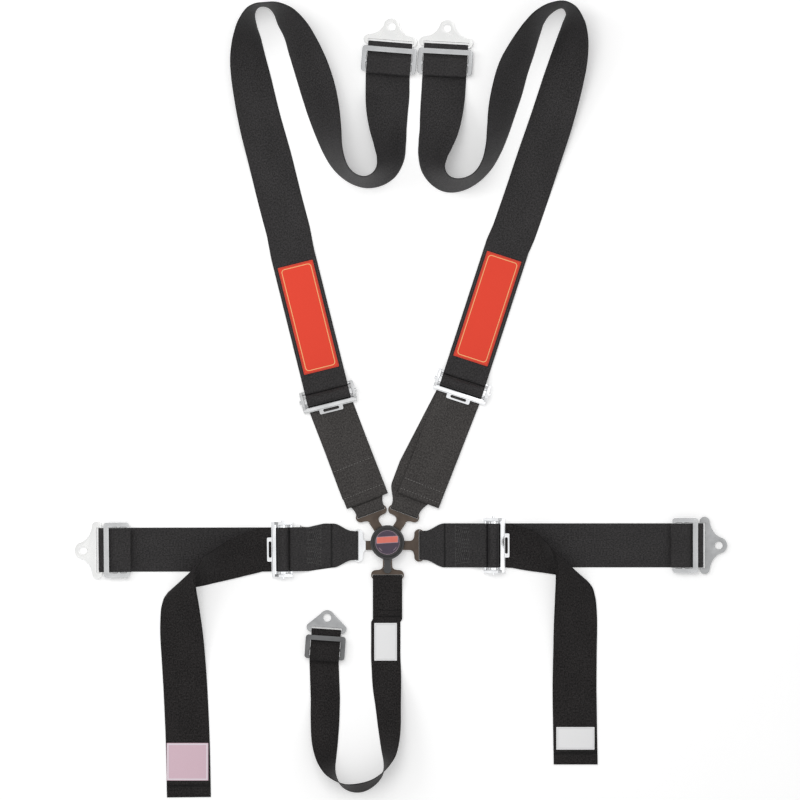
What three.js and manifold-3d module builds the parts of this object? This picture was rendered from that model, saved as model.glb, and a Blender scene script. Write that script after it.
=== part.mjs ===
// A five-point racing harness, laid flat: cam-lock buckle, tongues, belts, adjusters and bolt-in anchors.
// Millimetres, +Z up. The origin is under the buckle's centre, on the surface that the harness lies on.
import * as THREE from 'three';
import { mergeVertices } from 'three/addons/utils/BufferGeometryUtils.js';
import Module from 'manifold-3d';

const wasm = await Module();
wasm.setup();

// Webbing and general fits
const WIDE_WEB = 76.2;
const NARROW_WEB = 50.8;
const WEB_THICKNESS = 1.4;
const GAP = 0.3;
const OVERRUN = 5;
const LAYER = WEB_THICKNESS + GAP;
const HALF_WEB = WEB_THICKNESS / 2;

// Lay plan: places on the surface are shares of this length
const LAY_SPAN = 1000;

// Buckle
const BUCKLE_RADIUS = 29.5;
const BASE_THICKNESS = 3;
const TONGUE_THICKNESS = 3;
const CHANNEL_ROOF = 2.7;
const NECK_WIDTH = 16;
const TONGUE_TIP_RADIUS = 17;
const PIN_CIRCLE = 21;
const PIN_RADIUS = 2.2;
const PIN_HEAD_RADIUS = 3.4;
const PIN_HEAD_HEIGHT = 1.5;
const PIN_LIFT = 3.3;
const PIN_SPRING_SPACE = 6.6;
const RING_THICKNESS = 1.5;
const RING_INNER_RADIUS = 10.5;
const KNOB_TURN = 30;
const RAMP_STEPS = 4;
const POST_RADIUS = 6.6;
const POST_FLANGE_RADIUS = 24.6;
const POST_FLANGE_THICKNESS = 1.5;
const KNOB_WALL = 3.5;
const KNOB_TOP = 3;
const KNOB_RIM = 3;
const INSERT_RADIUS = 21.2;
const INSERT_DEPTH = 1.2;
const LEVER_REACH = 54;
const LEVER_ROOT_WIDTH = 22;
const LEVER_WAIST_WIDTH = 10.5;
const LEVER_WAIST_AT = 38;
const LEVER_TIP_WIDTH = 14;
const LEVER_THICKNESS = 6;
const SPRING_WIRE = 0.6;
const PIN_SPRING_CORE = 2;
const PIN_SPRING_TURNS = 3;
const RETURN_TURNS = 4;
const COIL_STEPS = 8;
const RETURN_WIRE = 1.2;

// Tongues
const LAP_LINE = -5.7;
const RIGHT_TONGUE_REACH = 58;
const LEFT_TONGUE_REACH = 54;
const CROTCH_TONGUE_REACH = 60;
const SHOULDER_TONGUE_REACH = 60;
const TONGUE_SLOT = 3.7;
const TONGUE_BAR = 5;
const TONGUE_SIDE = 3;
const TONGUE_CORNER = 8;
const WIDE_TONGUE_WEB = 50;
const SHOULDER_NECK_ANGLE = 34;
const SHOULDER_HEAD_SPACING = 2.95;
const SHOULDER_BELT_ANGLE = 20.5;

// Sewn loops
const TAPER_LENGTH = 34;
const LOOP_FLAT = 6;
const LOOP_SETTLE = 30;
const SEWN_END = 80;
const CROTCH_SEWN_END = 73;
const PATCH_BACKING = 240;

// Tilt-lock adjuster
const SLIDE_BAR_RADIUS = 8;
const SLIDE_BAR_END_RADIUS = 3;
const SLIDE_BAR_END = 3;
const REAR_BAR_RADIUS = 3;
const REAR_BAR_REACH = 14;
const EAR_GAP = 4.5;
const EAR_THICKNESS = 5;
const EAR_LENGTH = 35;
const EAR_HEIGHT = 16;
const LIP_LENGTH = 10;
const LIP_REAR_RADIUS = 1.6;
const TAB_LENGTH = 18;
const TAB_WIDTH = 42;
const TAB_THICKNESS = 3.2;
const TAB_SLOT_LENGTH = 28;
const TAB_SLOT_WIDTH = 4.6;
const TAB_CORNER = 2.5;
const ROLL_UNDER = 8;
const ROLL_OVER = 16.5;
const EXIT_TURN = 4.8;
const SPLIT_GAP = 0.5;
const TILT_LIMIT = 35;

// Three-bar slides and bolt-in brackets
const SLIDE_THICKNESS = 3;
const SLIDE_SIDE = 8;
const SLIDE_CORNER = 5;
const WINDOW_PLAY = 1.2;
const BRACKET_THICKNESS = 3;
const BRACKET_BAR = 4;
const BRACKET_SLOT = 5.5;
const BOLT_HOLE_RADIUS = 7;
const BAR_CLEARANCE = 0.5;
const ANCHOR_CLEARANCE = 2;
const wideAnchor = {
  web: WIDE_WEB, innerBar: 5, innerWindow: 11, centreBar: 5, outerWindow: 14, outerBar: 9.5,
  barAt: 5, holeAt: 35.8, tipRadius: 14.4, lobeRadius: 8.5, lobeReach: 11.5, waist: true,
};
const shoulderAnchor = { ...wideAnchor, lobeReach: 8.4 };
const narrowAnchor = {
  web: NARROW_WEB, innerBar: 5, innerWindow: 10, centreBar: 4, outerWindow: 13, outerBar: 9,
  barAt: 7, holeAt: 30.8, tipRadius: 13, lobeRadius: 8, lobeReach: 9.1, waist: false,
};

// Patches and labels
const PATCH_WIDTH = 62;
const PATCH_LENGTH = 190;
const PATCH_THICKNESS = 1;
const PATCH_START = 45.5;
const LABEL_THICKNESS = 0.4;
const CROTCH_LABEL = { length: 65, width: 39 };
const LEFT_TAIL_LABEL = { length: 65, width: 72 };
const RIGHT_TAIL_LABEL = { length: 39, width: 66 };

// Heights worked out from the sizes above
const TONGUE_BOTTOM = BASE_THICKNESS + GAP;
const TONGUE_TOP = TONGUE_BOTTOM + TONGUE_THICKNESS;
const TONGUE_MIDDLE = TONGUE_BOTTOM + TONGUE_THICKNESS / 2;
const TONGUE_TURN = TONGUE_THICKNESS / 2 + GAP + HALF_WEB;
const HOUSING_TOP = TONGUE_TOP + GAP + CHANNEL_ROOF;
const RING_BOTTOM = HOUSING_TOP + GAP;
const RING_TOP = RING_BOTTOM + RING_THICKNESS;
const HEAD_BOTTOM = RING_TOP + GAP;
const HEAD_TOP = HEAD_BOTTOM + PIN_HEAD_HEIGHT;
const FLANGE_BOTTOM = HEAD_TOP + PIN_SPRING_SPACE;
const FLANGE_TOP = FLANGE_BOTTOM + POST_FLANGE_THICKNESS;
const KNOB_CEILING = FLANGE_TOP + GAP;
const KNOB_HEIGHT = KNOB_CEILING + KNOB_TOP;
const ROLL_TURN = SLIDE_BAR_RADIUS + GAP + HALF_WEB;
const SLIDE_BAR_HEIGHT = LAYER + SLIDE_BAR_RADIUS;
const EXIT_HEIGHT = LAYER + HALF_WEB + EXIT_TURN;
const LIP_BOTTOM = 2 * LAYER;
const REAR_TURN = REAR_BAR_RADIUS + GAP + HALF_WEB;
const REAR_BAR_HEIGHT = REAR_TURN + HALF_WEB;
const BRACKET_TURN = Math.hypot(BRACKET_BAR / 2, BRACKET_THICKNESS / 2) + GAP + HALF_WEB;
const BRACKET_HEIGHT = BRACKET_TURN + HALF_WEB;
const RETURN_LEVEL = BRACKET_HEIGHT + BRACKET_TURN;
const SLIDE_BOTTOM = RETURN_LEVEL + HALF_WEB + GAP;
const SLIDE_TOP = SLIDE_BOTTOM + SLIDE_THICKNESS;

// Materials
const paint = (color, roughness, metalness) => new THREE.MeshStandardMaterial({ color, roughness, metalness });
const webbing = paint(0x232224, 0.85, 0);
const chrome = paint(0xdfe2e6, 0.18, 1);
const satinZinc = paint(0xa9abae, 0.4, 1);
const bronze = paint(0x4a3a30, 0.35, 1);
const blackPlastic = paint(0x16161a, 0.25, 0);
const castMetal = paint(0x3a3a3e, 0.45, 1);
const springSteel = paint(0x9a9da2, 0.35, 1);
const navy = paint(0x2a2440, 0.3, 0);
const patchRed = paint(0xc8232c, 0.8, 0);
const labelWhite = paint(0xe8e6e2, 0.8, 0);
const labelPink = paint(0xe6b4b0, 0.8, 0);

const harness = new THREE.Group();
const radians = THREE.MathUtils.degToRad;

function piece(name, geometry, material, group = harness) {
  const mesh = new THREE.Mesh(geometry, material);
  mesh.name = name;
  group.add(mesh);
  return mesh;
}

// Solid joins and cuts
function solidOf(geometry) {
  const plain = geometry.index ? geometry.toNonIndexed() : geometry.clone();
  plain.deleteAttribute('normal');
  plain.deleteAttribute('uv');
  const merged = mergeVertices(plain, 1e-4);
  return new wasm.Manifold(new wasm.Mesh({
    numProp: 3,
    vertProperties: new Float32Array(merged.attributes.position.array),
    triVerts: new Uint32Array(merged.index.array),
  }));
}

function geometryOf(solid) {
  const mesh = solid.getMesh();
  const geometry = new THREE.BufferGeometry();
  geometry.setAttribute('position', new THREE.BufferAttribute(new Float32Array(mesh.vertProperties), 3));
  geometry.setIndex(new THREE.BufferAttribute(new Uint32Array(mesh.triVerts), 1));
  const open = geometry.toNonIndexed();
  open.computeVertexNormals();
  return open;
}

function shaped(base, joins = [], cuts = []) {
  let solid = solidOf(base);
  for (const other of joins) solid = solid.add(solidOf(other));
  for (const tool of cuts) solid = solid.subtract(solidOf(tool));
  return geometryOf(solid);
}

// Basic solids standing on a height
function disc(radius, bottom, top, sides = 32) {
  const geometry = new THREE.CylinderGeometry(radius, radius, top - bottom, sides);
  geometry.rotateX(Math.PI / 2);
  geometry.translate(0, 0, (bottom + top) / 2);
  return geometry;
}

function discAt(x, y, radius, bottom, top, sides = 14) {
  return disc(radius, bottom, top, sides).translate(x, y, 0);
}

function box(x0, x1, y0, y1, z0, z1) {
  const geometry = new THREE.BoxGeometry(x1 - x0, y1 - y0, z1 - z0);
  return geometry.translate((x0 + x1) / 2, (y0 + y1) / 2, (z0 + z1) / 2);
}

function plate(shape, bottom, top, curveSegments = 3) {
  const geometry = new THREE.ExtrudeGeometry(shape, { depth: top - bottom, bevelEnabled: false, curveSegments });
  return geometry.translate(0, 0, bottom);
}

function roundedRectangle(path, x0, x1, y0, y1, radius) {
  path.moveTo(x0 + radius, y0);
  path.lineTo(x1 - radius, y0);
  path.absarc(x1 - radius, y0 + radius, radius, -Math.PI / 2, 0, false);
  path.lineTo(x1, y1 - radius);
  path.absarc(x1 - radius, y1 - radius, radius, 0, Math.PI / 2, false);
  path.lineTo(x0 + radius, y1);
  path.absarc(x0 + radius, y1 - radius, radius, Math.PI / 2, Math.PI, false);
  path.lineTo(x0, y0 + radius);
  path.absarc(x0 + radius, y0 + radius, radius, Math.PI, Math.PI * 1.5, false);
  path.closePath();
  return path;
}

// A bar along the local Y axis from a profile drawn in X and Z
function crossBar(profile, y0, y1, curveSegments = 4) {
  const geometry = new THREE.ExtrudeGeometry(profile, { depth: y1 - y0, bevelEnabled: false, curveSegments });
  geometry.rotateX(Math.PI / 2);
  return geometry.translate(0, y1, 0);
}

function roundBar(x, z, radius, y0, y1, sides = 12) {
  const geometry = new THREE.CylinderGeometry(radius, radius, y1 - y0, sides);
  return geometry.translate(x, (y0 + y1) / 2, z);
}

// An open coil as one closed tube, kept clear of a core of the given radius
function coil(core, wire, height, turns, sides) {
  const radius = (core + wire / 2) / Math.cos(Math.PI / COIL_STEPS);
  const steps = turns * COIL_STEPS;
  class Helix extends THREE.Curve {
    getPoint(t, target = new THREE.Vector3()) {
      const angle = t * turns * Math.PI * 2;
      return target.set(radius * Math.cos(angle), radius * Math.sin(angle), t * height);
    }
  }
  const section = new THREE.Shape();
  for (let i = 0; i < sides; i += 1) {
    const angle = (i / sides) * Math.PI * 2;
    const x = wire * Math.cos(angle) / 2;
    const y = wire * Math.sin(angle) / 2;
    if (i === 0) section.moveTo(x, y);
    else section.lineTo(x, y);
  }
  return new THREE.ExtrudeGeometry(section, { extrudePath: new Helix(), steps, bevelEnabled: false });
}

// Four corners per station, skinned as one closed solid; opposite faces are split along the same diagonal
function loft(corners) {
  const last = corners.length - 4;
  const index = [0, 1, 2, 0, 2, 3, last, last + 2, last + 1, last, last + 3, last + 2];
  for (let i = 0; i < last; i += 4) {
    for (let k = 0; k < 4; k += 1) {
      const [a, b, c, d] = [i + k, i + (k + 1) % 4, i + 4 + (k + 1) % 4, i + 4 + k];
      index.push(...(k < 2 ? [a, d, b, b, d, c] : [a, d, c, a, c, b]));
    }
  }
  let volume = 0;
  for (let i = 0; i < index.length; i += 3) {
    const [a, b, c] = [corners[index[i]], corners[index[i + 1]], corners[index[i + 2]]];
    volume += a.dot(b.clone().cross(c));
  }
  if (volume < 0) {
    for (let i = 0; i < index.length; i += 3) [index[i], index[i + 1]] = [index[i + 1], index[i]];
  }
  const geometry = new THREE.BufferGeometry().setFromPoints(corners);
  geometry.setIndex(index);
  const open = geometry.toNonIndexed();
  open.computeVertexNormals();
  return open;
}

// Webbing: rows across the strap, each a centre, an across direction and a width
function strap(rows, thickness = WEB_THICKNESS) {
  const corners = [];
  let across = rows[0].w.clone();
  rows.forEach((row, i) => {
    const before = rows[Math.max(i - 1, 0)].c;
    const after = rows[Math.min(i + 1, rows.length - 1)].c;
    const along = after.clone().sub(before).normalize();
    const w = row.w.clone();
    if (w.dot(across) < 0) w.negate();
    across = w;
    const n = along.clone().cross(w).normalize().multiplyScalar(thickness / 2);
    const half = w.clone().multiplyScalar(row.width / 2);
    corners.push(
      row.c.clone().add(half).add(n), row.c.clone().sub(half).add(n),
      row.c.clone().sub(half).sub(n), row.c.clone().add(half).sub(n),
    );
  });
  return loft(corners);
}

// A place on the lay plan: a local frame with its own angle
function place(x, y, angle) {
  return { x, y, angle: radians(angle) };
}

function toWorld(frame, x, y, z) {
  const cos = Math.cos(frame.angle);
  const sin = Math.sin(frame.angle);
  return new THREE.Vector3(frame.x + x * cos - y * sin, frame.y + x * sin + y * cos, z);
}

function groupAt(frame) {
  const group = new THREE.Group();
  group.position.set(frame.x, frame.y, 0);
  group.rotation.z = frame.angle;
  harness.add(group);
  return group;
}

// Rows of a stretch that runs square through hardware, from points in the frame's X and Z
function hardwareRows(frame, points, width) {
  const w = new THREE.Vector3(-Math.sin(frame.angle), Math.cos(frame.angle), 0);
  return points.map(([x, z, own = width]) => ({ c: toWorld(frame, x, 0, z), w: w.clone(), width: own }));
}

function arc(x, z, radius, from, to, steps) {
  const points = [];
  for (let i = 0; i <= steps; i += 1) {
    const angle = radians(from + (to - from) * i / steps);
    points.push([x + radius * Math.cos(angle), z + radius * Math.sin(angle)]);
  }
  return points;
}

// Rows of a free stretch through table points; the bank stands the strap up on its right or left edge
function freeRows(points, width, side, steps, low = 0) {
  const plan = points.map(([x, y]) => new THREE.Vector3(x, y, 0));
  const banks = points.map(([, , bank = 0]) => new THREE.Vector3(bank, 0, 0));
  const lows = points.map(([, , , own = low]) => new THREE.Vector3(own, 0, 0));
  const route = new THREE.CatmullRomCurve3(plan, false, 'centripetal');
  const bankCurve = new THREE.CatmullRomCurve3(banks, false, 'catmullrom');
  const lowCurve = new THREE.CatmullRomCurve3(lows, false, 'catmullrom', 0);
  const rows = [];
  for (let i = 0; i <= steps; i += 1) {
    const t = i / steps;
    const c = route.getPoint(t);
    const tangent = route.getTangent(t);
    const bank = radians(Math.max(bankCurve.getPoint(t).x, 0));
    const right = new THREE.Vector3(tangent.y, -tangent.x, 0).normalize();
    const w = right.multiplyScalar(Math.cos(bank)).setZ(-side * Math.sin(bank));
    c.z = lowCurve.getPoint(t).x + Math.abs(width * Math.sin(bank)) / 2 + HALF_WEB * Math.abs(Math.cos(bank));
    rows.push({ c, w, width });
  }
  return rows;
}

// Rows of a tail that folds over: each table row is a place, a heading across, a bank and a reach
function foldRows(frame, table, width, stepsEach) {
  const route = new THREE.CatmullRomCurve3(
    table.map(([x, y]) => toWorld(frame, x * LAY_SPAN, y * LAY_SPAN, 0)), false, 'centripetal',
  );
  const turns = new THREE.CatmullRomCurve3(
    table.map(([, , heading, bank, reach]) => new THREE.Vector3(heading, bank, reach)), false, 'catmullrom',
  );
  const lows = table.map((row) => row[5]);
  const steps = (table.length - 1) * stepsEach;
  const rows = [];
  for (let i = 0; i <= steps; i += 1) {
    const t = i / steps;
    const c = route.getPoint(t);
    const turn = turns.getPoint(t);
    const heading = radians(turn.x) + frame.angle;
    const bank = radians(turn.y);
    const own = width * turn.z;
    const w = new THREE.Vector3(
      Math.cos(heading) * Math.cos(bank), Math.sin(heading) * Math.cos(bank), Math.sin(bank),
    );
    const at = Math.min(Math.floor(i / stepsEach), table.length - 2);
    const within = i / stepsEach - at;
    const low = (lows[at] + (lows[at + 1] - lows[at]) * within) * LAYER;
    c.z = low + own * Math.abs(Math.sin(bank)) / 2 + HALF_WEB;
    rows.push({ c, w, width: own });
  }
  return rows;
}

// Buckle: fixed shell
const tongueAngles = {
  lap_right: 0, lap_left: 180, crotch: 270,
  shoulder_left: 90 + SHOULDER_NECK_ANGLE, shoulder_right: 90 - SHOULDER_NECK_ANGLE,
};
const releasing = ['lap_right', 'crotch', 'shoulder_left', 'shoulder_right'];

function neckLine(name) {
  return name.startsWith('lap') ? LAP_LINE : 0;
}

function pinPlace(name) {
  const angle = radians(tongueAngles[name]);
  return { x: PIN_CIRCLE * Math.cos(angle), y: PIN_CIRCLE * Math.sin(angle) };
}

function buckleShell() {
  piece('buckle_base_plate', disc(BUCKLE_RADIUS, 0, BASE_THICKNESS), castMetal);

  const half = NECK_WIDTH / 2 + GAP;
  const cuts = Object.entries(tongueAngles).map(([name, angle]) => {
    const channel = box(TONGUE_TIP_RADIUS - GAP, BUCKLE_RADIUS + OVERRUN, -half, half,
      BASE_THICKNESS - OVERRUN, TONGUE_TOP + GAP);
    return channel.rotateZ(radians(angle)).translate(0, neckLine(name), 0);
  });
  releasing.forEach((name) => {
    const { x, y } = pinPlace(name);
    cuts.push(discAt(x, y + neckLine(name), PIN_RADIUS + GAP, 0, HOUSING_TOP + OVERRUN));
  });
  cuts.push(disc(POST_RADIUS + GAP, 0, HOUSING_TOP + OVERRUN));
  piece('buckle_housing', shaped(disc(BUCKLE_RADIUS, BASE_THICKNESS + GAP, HOUSING_TOP), [], cuts), castMetal);

  const post = shaped(disc(POST_RADIUS, BASE_THICKNESS + GAP, FLANGE_TOP),
    [disc(POST_FLANGE_RADIUS, FLANGE_BOTTOM, FLANGE_TOP)]);
  piece('centre_post', post, springSteel);
}

// Buckle: latch pins and their springs
function latchPins() {
  releasing.forEach((name) => {
    const { x, y } = pinPlace(name);
    const lineY = y + neckLine(name);
    const shank = discAt(x, lineY, PIN_RADIUS, TONGUE_BOTTOM + GAP, HEAD_TOP);
    const head = discAt(x, lineY, PIN_HEAD_RADIUS, HEAD_BOTTOM, HEAD_TOP);
    piece(`latch_pin_${name}`, shaped(shank, [head]), springSteel);
    const height = PIN_SPRING_SPACE - 2 * GAP - SPRING_WIRE;
    const spring = coil(PIN_SPRING_CORE, SPRING_WIRE, height, PIN_SPRING_TURNS, 4);
    spring.translate(x, lineY, HEAD_TOP + GAP + SPRING_WIRE / 2);
    piece(`latch_spring_${name}`, spring, springSteel);
  });
}

// Buckle: turning knob, its insert, the ramp ring below it and the return spring
function ringRamp(inner, outer, high) {
  const corners = [];
  for (let i = 0; i <= RAMP_STEPS; i += 1) {
    const angle = radians(high - (KNOB_TURN + 1) * i / RAMP_STEPS);
    const top = RING_TOP + PIN_LIFT * i / RAMP_STEPS;
    [[inner, RING_TOP - GAP], [outer, RING_TOP - GAP], [outer, top], [inner, top]].forEach(([r, z]) => {
      corners.push(new THREE.Vector3(r * Math.cos(angle), r * Math.sin(angle), z));
    });
  }
  return loft(corners);
}

function rampRing() {
  const outer = BUCKLE_RADIUS - KNOB_WALL - GAP;
  const cuts = [disc(RING_INNER_RADIUS, 0, KNOB_HEIGHT, 24)];
  const joins = [];
  const toDegrees = THREE.MathUtils.radToDeg;
  releasing.forEach((name) => {
    const { x, y } = pinPlace(name);
    const circle = Math.hypot(x, y + neckLine(name));
    const at = toDegrees(Math.atan2(y + neckLine(name), x));
    const headPlay = toDegrees(Math.asin((PIN_HEAD_RADIUS + GAP) / circle));
    const shankPlay = toDegrees(Math.asin((PIN_RADIUS + GAP) / circle));
    const slot = new THREE.Shape();
    const from = radians(at - KNOB_TURN - shankPlay);
    const to = radians(at + shankPlay);
    slot.absarc(0, 0, circle + PIN_RADIUS + GAP, from, to, false);
    slot.absarc(0, 0, circle - PIN_RADIUS - GAP, to, from, true);
    cuts.push(plate(slot, 0, KNOB_HEIGHT, 6));
    joins.push(ringRamp(circle - PIN_HEAD_RADIUS, outer - GAP, at - headPlay));
  });
  return shaped(disc(outer, RING_BOTTOM, RING_TOP), joins, cuts);
}

function knobSolid() {
  const wall = BUCKLE_RADIUS - KNOB_WALL;
  const cap = new THREE.LatheGeometry([
    new THREE.Vector2(0, KNOB_CEILING), new THREE.Vector2(wall, KNOB_CEILING),
    new THREE.Vector2(wall, HOUSING_TOP + GAP), new THREE.Vector2(BUCKLE_RADIUS, HOUSING_TOP + GAP),
    new THREE.Vector2(BUCKLE_RADIUS, KNOB_HEIGHT - KNOB_RIM * 0.7),
    new THREE.Vector2(BUCKLE_RADIUS - KNOB_RIM * 0.3, KNOB_HEIGHT),
    new THREE.Vector2(BUCKLE_RADIUS - KNOB_RIM, KNOB_HEIGHT),
    new THREE.Vector2(BUCKLE_RADIUS - KNOB_RIM * 1.6, KNOB_HEIGHT - INSERT_DEPTH),
    new THREE.Vector2(0, KNOB_HEIGHT - INSERT_DEPTH),
  ], 40).rotateX(Math.PI / 2);
  const lever = new THREE.Shape();
  const root = LEVER_ROOT_WIDTH / 2;
  const tip = LEVER_TIP_WIDTH / 2;
  const waist = LEVER_WAIST_WIDTH / 2;
  const rim = BUCKLE_RADIUS - KNOB_WALL / 3;
  lever.moveTo(-root, -wall - GAP);
  lever.lineTo(-root, -rim);
  lever.quadraticCurveTo(-waist, -rim, -waist, -LEVER_WAIST_AT);
  lever.lineTo(-tip, -LEVER_REACH + tip);
  lever.absarc(0, -LEVER_REACH + tip, tip, Math.PI, Math.PI * 2, false);
  lever.lineTo(waist, -LEVER_WAIST_AT);
  lever.quadraticCurveTo(waist, -rim, root, -rim);
  lever.lineTo(root, -wall - GAP);
  const leverBottom = HOUSING_TOP + GAP;
  return shaped(cap, [plate(lever, leverBottom, leverBottom + LEVER_THICKNESS)]);
}

function turningKnob() {
  piece('release_knob', knobSolid(), blackPlastic);
  const insertBottom = KNOB_HEIGHT - INSERT_DEPTH + GAP;
  piece('knob_insert_disc', disc(INSERT_RADIUS, insertBottom, insertBottom + INSERT_DEPTH, 36), navy);
  piece('cam_ramp_ring', rampRing(), castMetal);
  const height = FLANGE_BOTTOM - HOUSING_TOP - 2 * GAP - RETURN_WIRE;
  const spring = coil(POST_RADIUS + GAP, RETURN_WIRE, height, RETURN_TURNS, 5);
  spring.translate(0, 0, HOUSING_TOP + GAP + RETURN_WIRE / 2);
  piece('knob_return_spring', spring, springSteel);
}

// Tongues: a neck that enters the buckle and a flared head with a web slot
function tongueShape(reach, web, neckTurn) {
  const half = NECK_WIDTH / 2;
  const headHalf = web / 2 + TONGUE_SIDE;
  const headBack = reach - TONGUE_SLOT - TONGUE_CORNER;
  const headFront = reach + TONGUE_BAR;
  const head = new THREE.Shape();
  head.moveTo(headFront, -headHalf + TONGUE_CORNER);
  head.lineTo(headFront, headHalf - TONGUE_CORNER);
  head.absarc(headFront - TONGUE_CORNER, headHalf - TONGUE_CORNER, TONGUE_CORNER, 0, Math.PI / 2, false);
  head.lineTo(headBack + TONGUE_CORNER, headHalf);
  head.absarc(headBack + TONGUE_CORNER, headHalf - TONGUE_CORNER, TONGUE_CORNER, Math.PI / 2, Math.PI, false);
  head.quadraticCurveTo(headBack, half, headBack - TONGUE_CORNER, half);
  head.lineTo(headBack - TONGUE_CORNER, -half);
  head.quadraticCurveTo(headBack, -half, headBack, -headHalf + TONGUE_CORNER);
  head.absarc(headBack + TONGUE_CORNER, -headHalf + TONGUE_CORNER, TONGUE_CORNER, Math.PI, Math.PI * 1.5, false);
  head.lineTo(headFront - TONGUE_CORNER, -headHalf);
  head.absarc(headFront - TONGUE_CORNER, -headHalf + TONGUE_CORNER, TONGUE_CORNER, Math.PI * 1.5, Math.PI * 2, false);
  const slot = new THREE.Path();
  const slotHalf = web / 2 + GAP * 2;
  roundedRectangle(slot, reach - TONGUE_SLOT, reach, -slotHalf, slotHalf, GAP * 2);
  head.holes.push(slot);
  return { head, neckEnd: headBack - TONGUE_CORNER + GAP, half, neckTurn };
}

function tongueNeck(from, to) {
  const half = NECK_WIDTH / 2;
  const chamfer = NECK_WIDTH / 4;
  const neck = new THREE.Shape();
  neck.moveTo(from, -half + chamfer);
  neck.lineTo(from + chamfer, -half);
  neck.lineTo(to, -half);
  neck.lineTo(to, half);
  neck.lineTo(from + chamfer, half);
  neck.lineTo(from, half - chamfer);
  return neck;
}

const shoulderHead = (side) => {
  const halfHead = WIDE_TONGUE_WEB / 2 + TONGUE_SIDE;
  const offset = halfHead * Math.cos(radians(SHOULDER_BELT_ANGLE)) + SHOULDER_HEAD_SPACING;
  const along = Math.sqrt(SHOULDER_TONGUE_REACH ** 2 - offset ** 2);
  return place(-side * offset, along, 90 + side * SHOULDER_BELT_ANGLE);
};

function tongue(name, headFrame, reach, web, material) {
  const { head } = tongueShape(0, web, 0);
  const headSolid = plate(head, TONGUE_BOTTOM, TONGUE_TOP);
  headSolid.rotateZ(headFrame.angle).translate(headFrame.x, headFrame.y, 0);
  const neckLength = reach - TONGUE_SLOT - 2 * TONGUE_CORNER + 2 * GAP;
  const neck = plate(tongueNeck(TONGUE_TIP_RADIUS, Math.max(neckLength, BUCKLE_RADIUS + GAP)), TONGUE_BOTTOM, TONGUE_TOP);
  neck.rotateZ(radians(tongueAngles[name])).translate(0, neckLine(name), 0);
  const cuts = [];
  if (releasing.includes(name)) {
    const { x, y } = pinPlace(name);
    cuts.push(discAt(x, y + neckLine(name), PIN_RADIUS + GAP, 0, HOUSING_TOP));
  }
  piece(`tongue_${name}`, shaped(headSolid, [neck], cuts), material);
}

// Where each tongue's slot bar lies
const heads = {
  lap_right: place(RIGHT_TONGUE_REACH, LAP_LINE, 0),
  lap_left: place(-LEFT_TONGUE_REACH, LAP_LINE - GAP, 180),
  crotch: place(0, -CROTCH_TONGUE_REACH, 270),
  shoulder_left: shoulderHead(1),
  shoulder_right: shoulderHead(-1),
};

function tongues() {
  tongue('lap_right', heads.lap_right, RIGHT_TONGUE_REACH, WIDE_TONGUE_WEB, bronze);
  tongue('lap_left', heads.lap_left, LEFT_TONGUE_REACH, WIDE_TONGUE_WEB, chrome);
  tongue('crotch', heads.crotch, CROTCH_TONGUE_REACH, NARROW_WEB, bronze);
  tongue('shoulder_left', heads.shoulder_left, SHOULDER_TONGUE_REACH, WIDE_TONGUE_WEB, bronze);
  tongue('shoulder_right', heads.shoulder_right, SHOULDER_TONGUE_REACH, WIDE_TONGUE_WEB, bronze);
}

// Adjuster frames in their own place: +X to the fixed strap, -X to the tab and the loose tail
const earShares = [
  [-0.5, 0.27], [-0.5, 0.52], [-0.22, 0.98], [0.08, 1], [0.44, 0.66], [0.5, 0.4], [0.46, 0.12],
  [0.36, 0.05], [-0.12, 0.14],
];

function earProfile() {
  const shape = new THREE.Shape();
  earShares.forEach(([x, z], i) => {
    const method = i === 0 ? 'moveTo' : 'lineTo';
    shape[method](x * EAR_LENGTH, z * EAR_HEIGHT);
  });
  return shape;
}

function adjusterFrame() {
  const inside = WIDE_WEB / 2 + EAR_GAP;
  const outside = inside + EAR_THICKNESS;
  const nose = EXIT_TURN - HALF_WEB - GAP;
  const noseX = -(ROLL_TURN + EXIT_TURN);
  const rearX = noseX + nose - LIP_LENGTH + LIP_REAR_RADIUS;
  const lip = new THREE.Shape();
  lip.absarc(noseX, LIP_BOTTOM + nose, nose, -Math.PI / 2, Math.PI / 2, false);
  lip.lineTo(rearX, LIP_BOTTOM + TAB_THICKNESS + LIP_REAR_RADIUS);
  lip.lineTo(rearX - LIP_REAR_RADIUS, LIP_BOTTOM + TAB_THICKNESS);
  lip.lineTo(rearX - LIP_REAR_RADIUS, LIP_BOTTOM);
  const ears = [crossBar(earProfile(), inside, outside), crossBar(earProfile(), -outside, -inside)];
  const bar = roundBar(REAR_BAR_REACH, REAR_BAR_HEIGHT, REAR_BAR_RADIUS, -inside - GAP, inside + GAP, 12);
  const tab = new THREE.Shape();
  const tabFront = noseX + nose - TAB_LENGTH;
  roundedRectangle(tab, tabFront, noseX, -TAB_WIDTH / 2, TAB_WIDTH / 2, TAB_CORNER);
  const slot = new THREE.Path();
  const slotFront = tabFront + TAB_SLOT_WIDTH * 0.7;
  roundedRectangle(slot, slotFront, slotFront + TAB_SLOT_WIDTH, -TAB_SLOT_LENGTH / 2, TAB_SLOT_LENGTH / 2,
    TAB_SLOT_WIDTH / 2.2);
  tab.holes.push(slot);
  const tabSolid = plate(tab, LIP_BOTTOM, LIP_BOTTOM + TAB_THICKNESS, 4);
  const lipSolid = crossBar(lip, -outside + GAP, outside - GAP, 6);
  const holes = [roundBar(0, SLIDE_BAR_HEIGHT, SLIDE_BAR_END_RADIUS + GAP, -outside - OVERRUN, outside + OVERRUN, 12)];
  return shaped(lipSolid, [...ears, bar, tabSolid], [...holes, plateHole(slot, LIP_BOTTOM)]);
}

function plateHole(path, bottom) {
  const shape = new THREE.Shape(path.getPoints(4));
  return plate(shape, bottom - OVERRUN, bottom + TAB_THICKNESS + OVERRUN);
}

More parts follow.
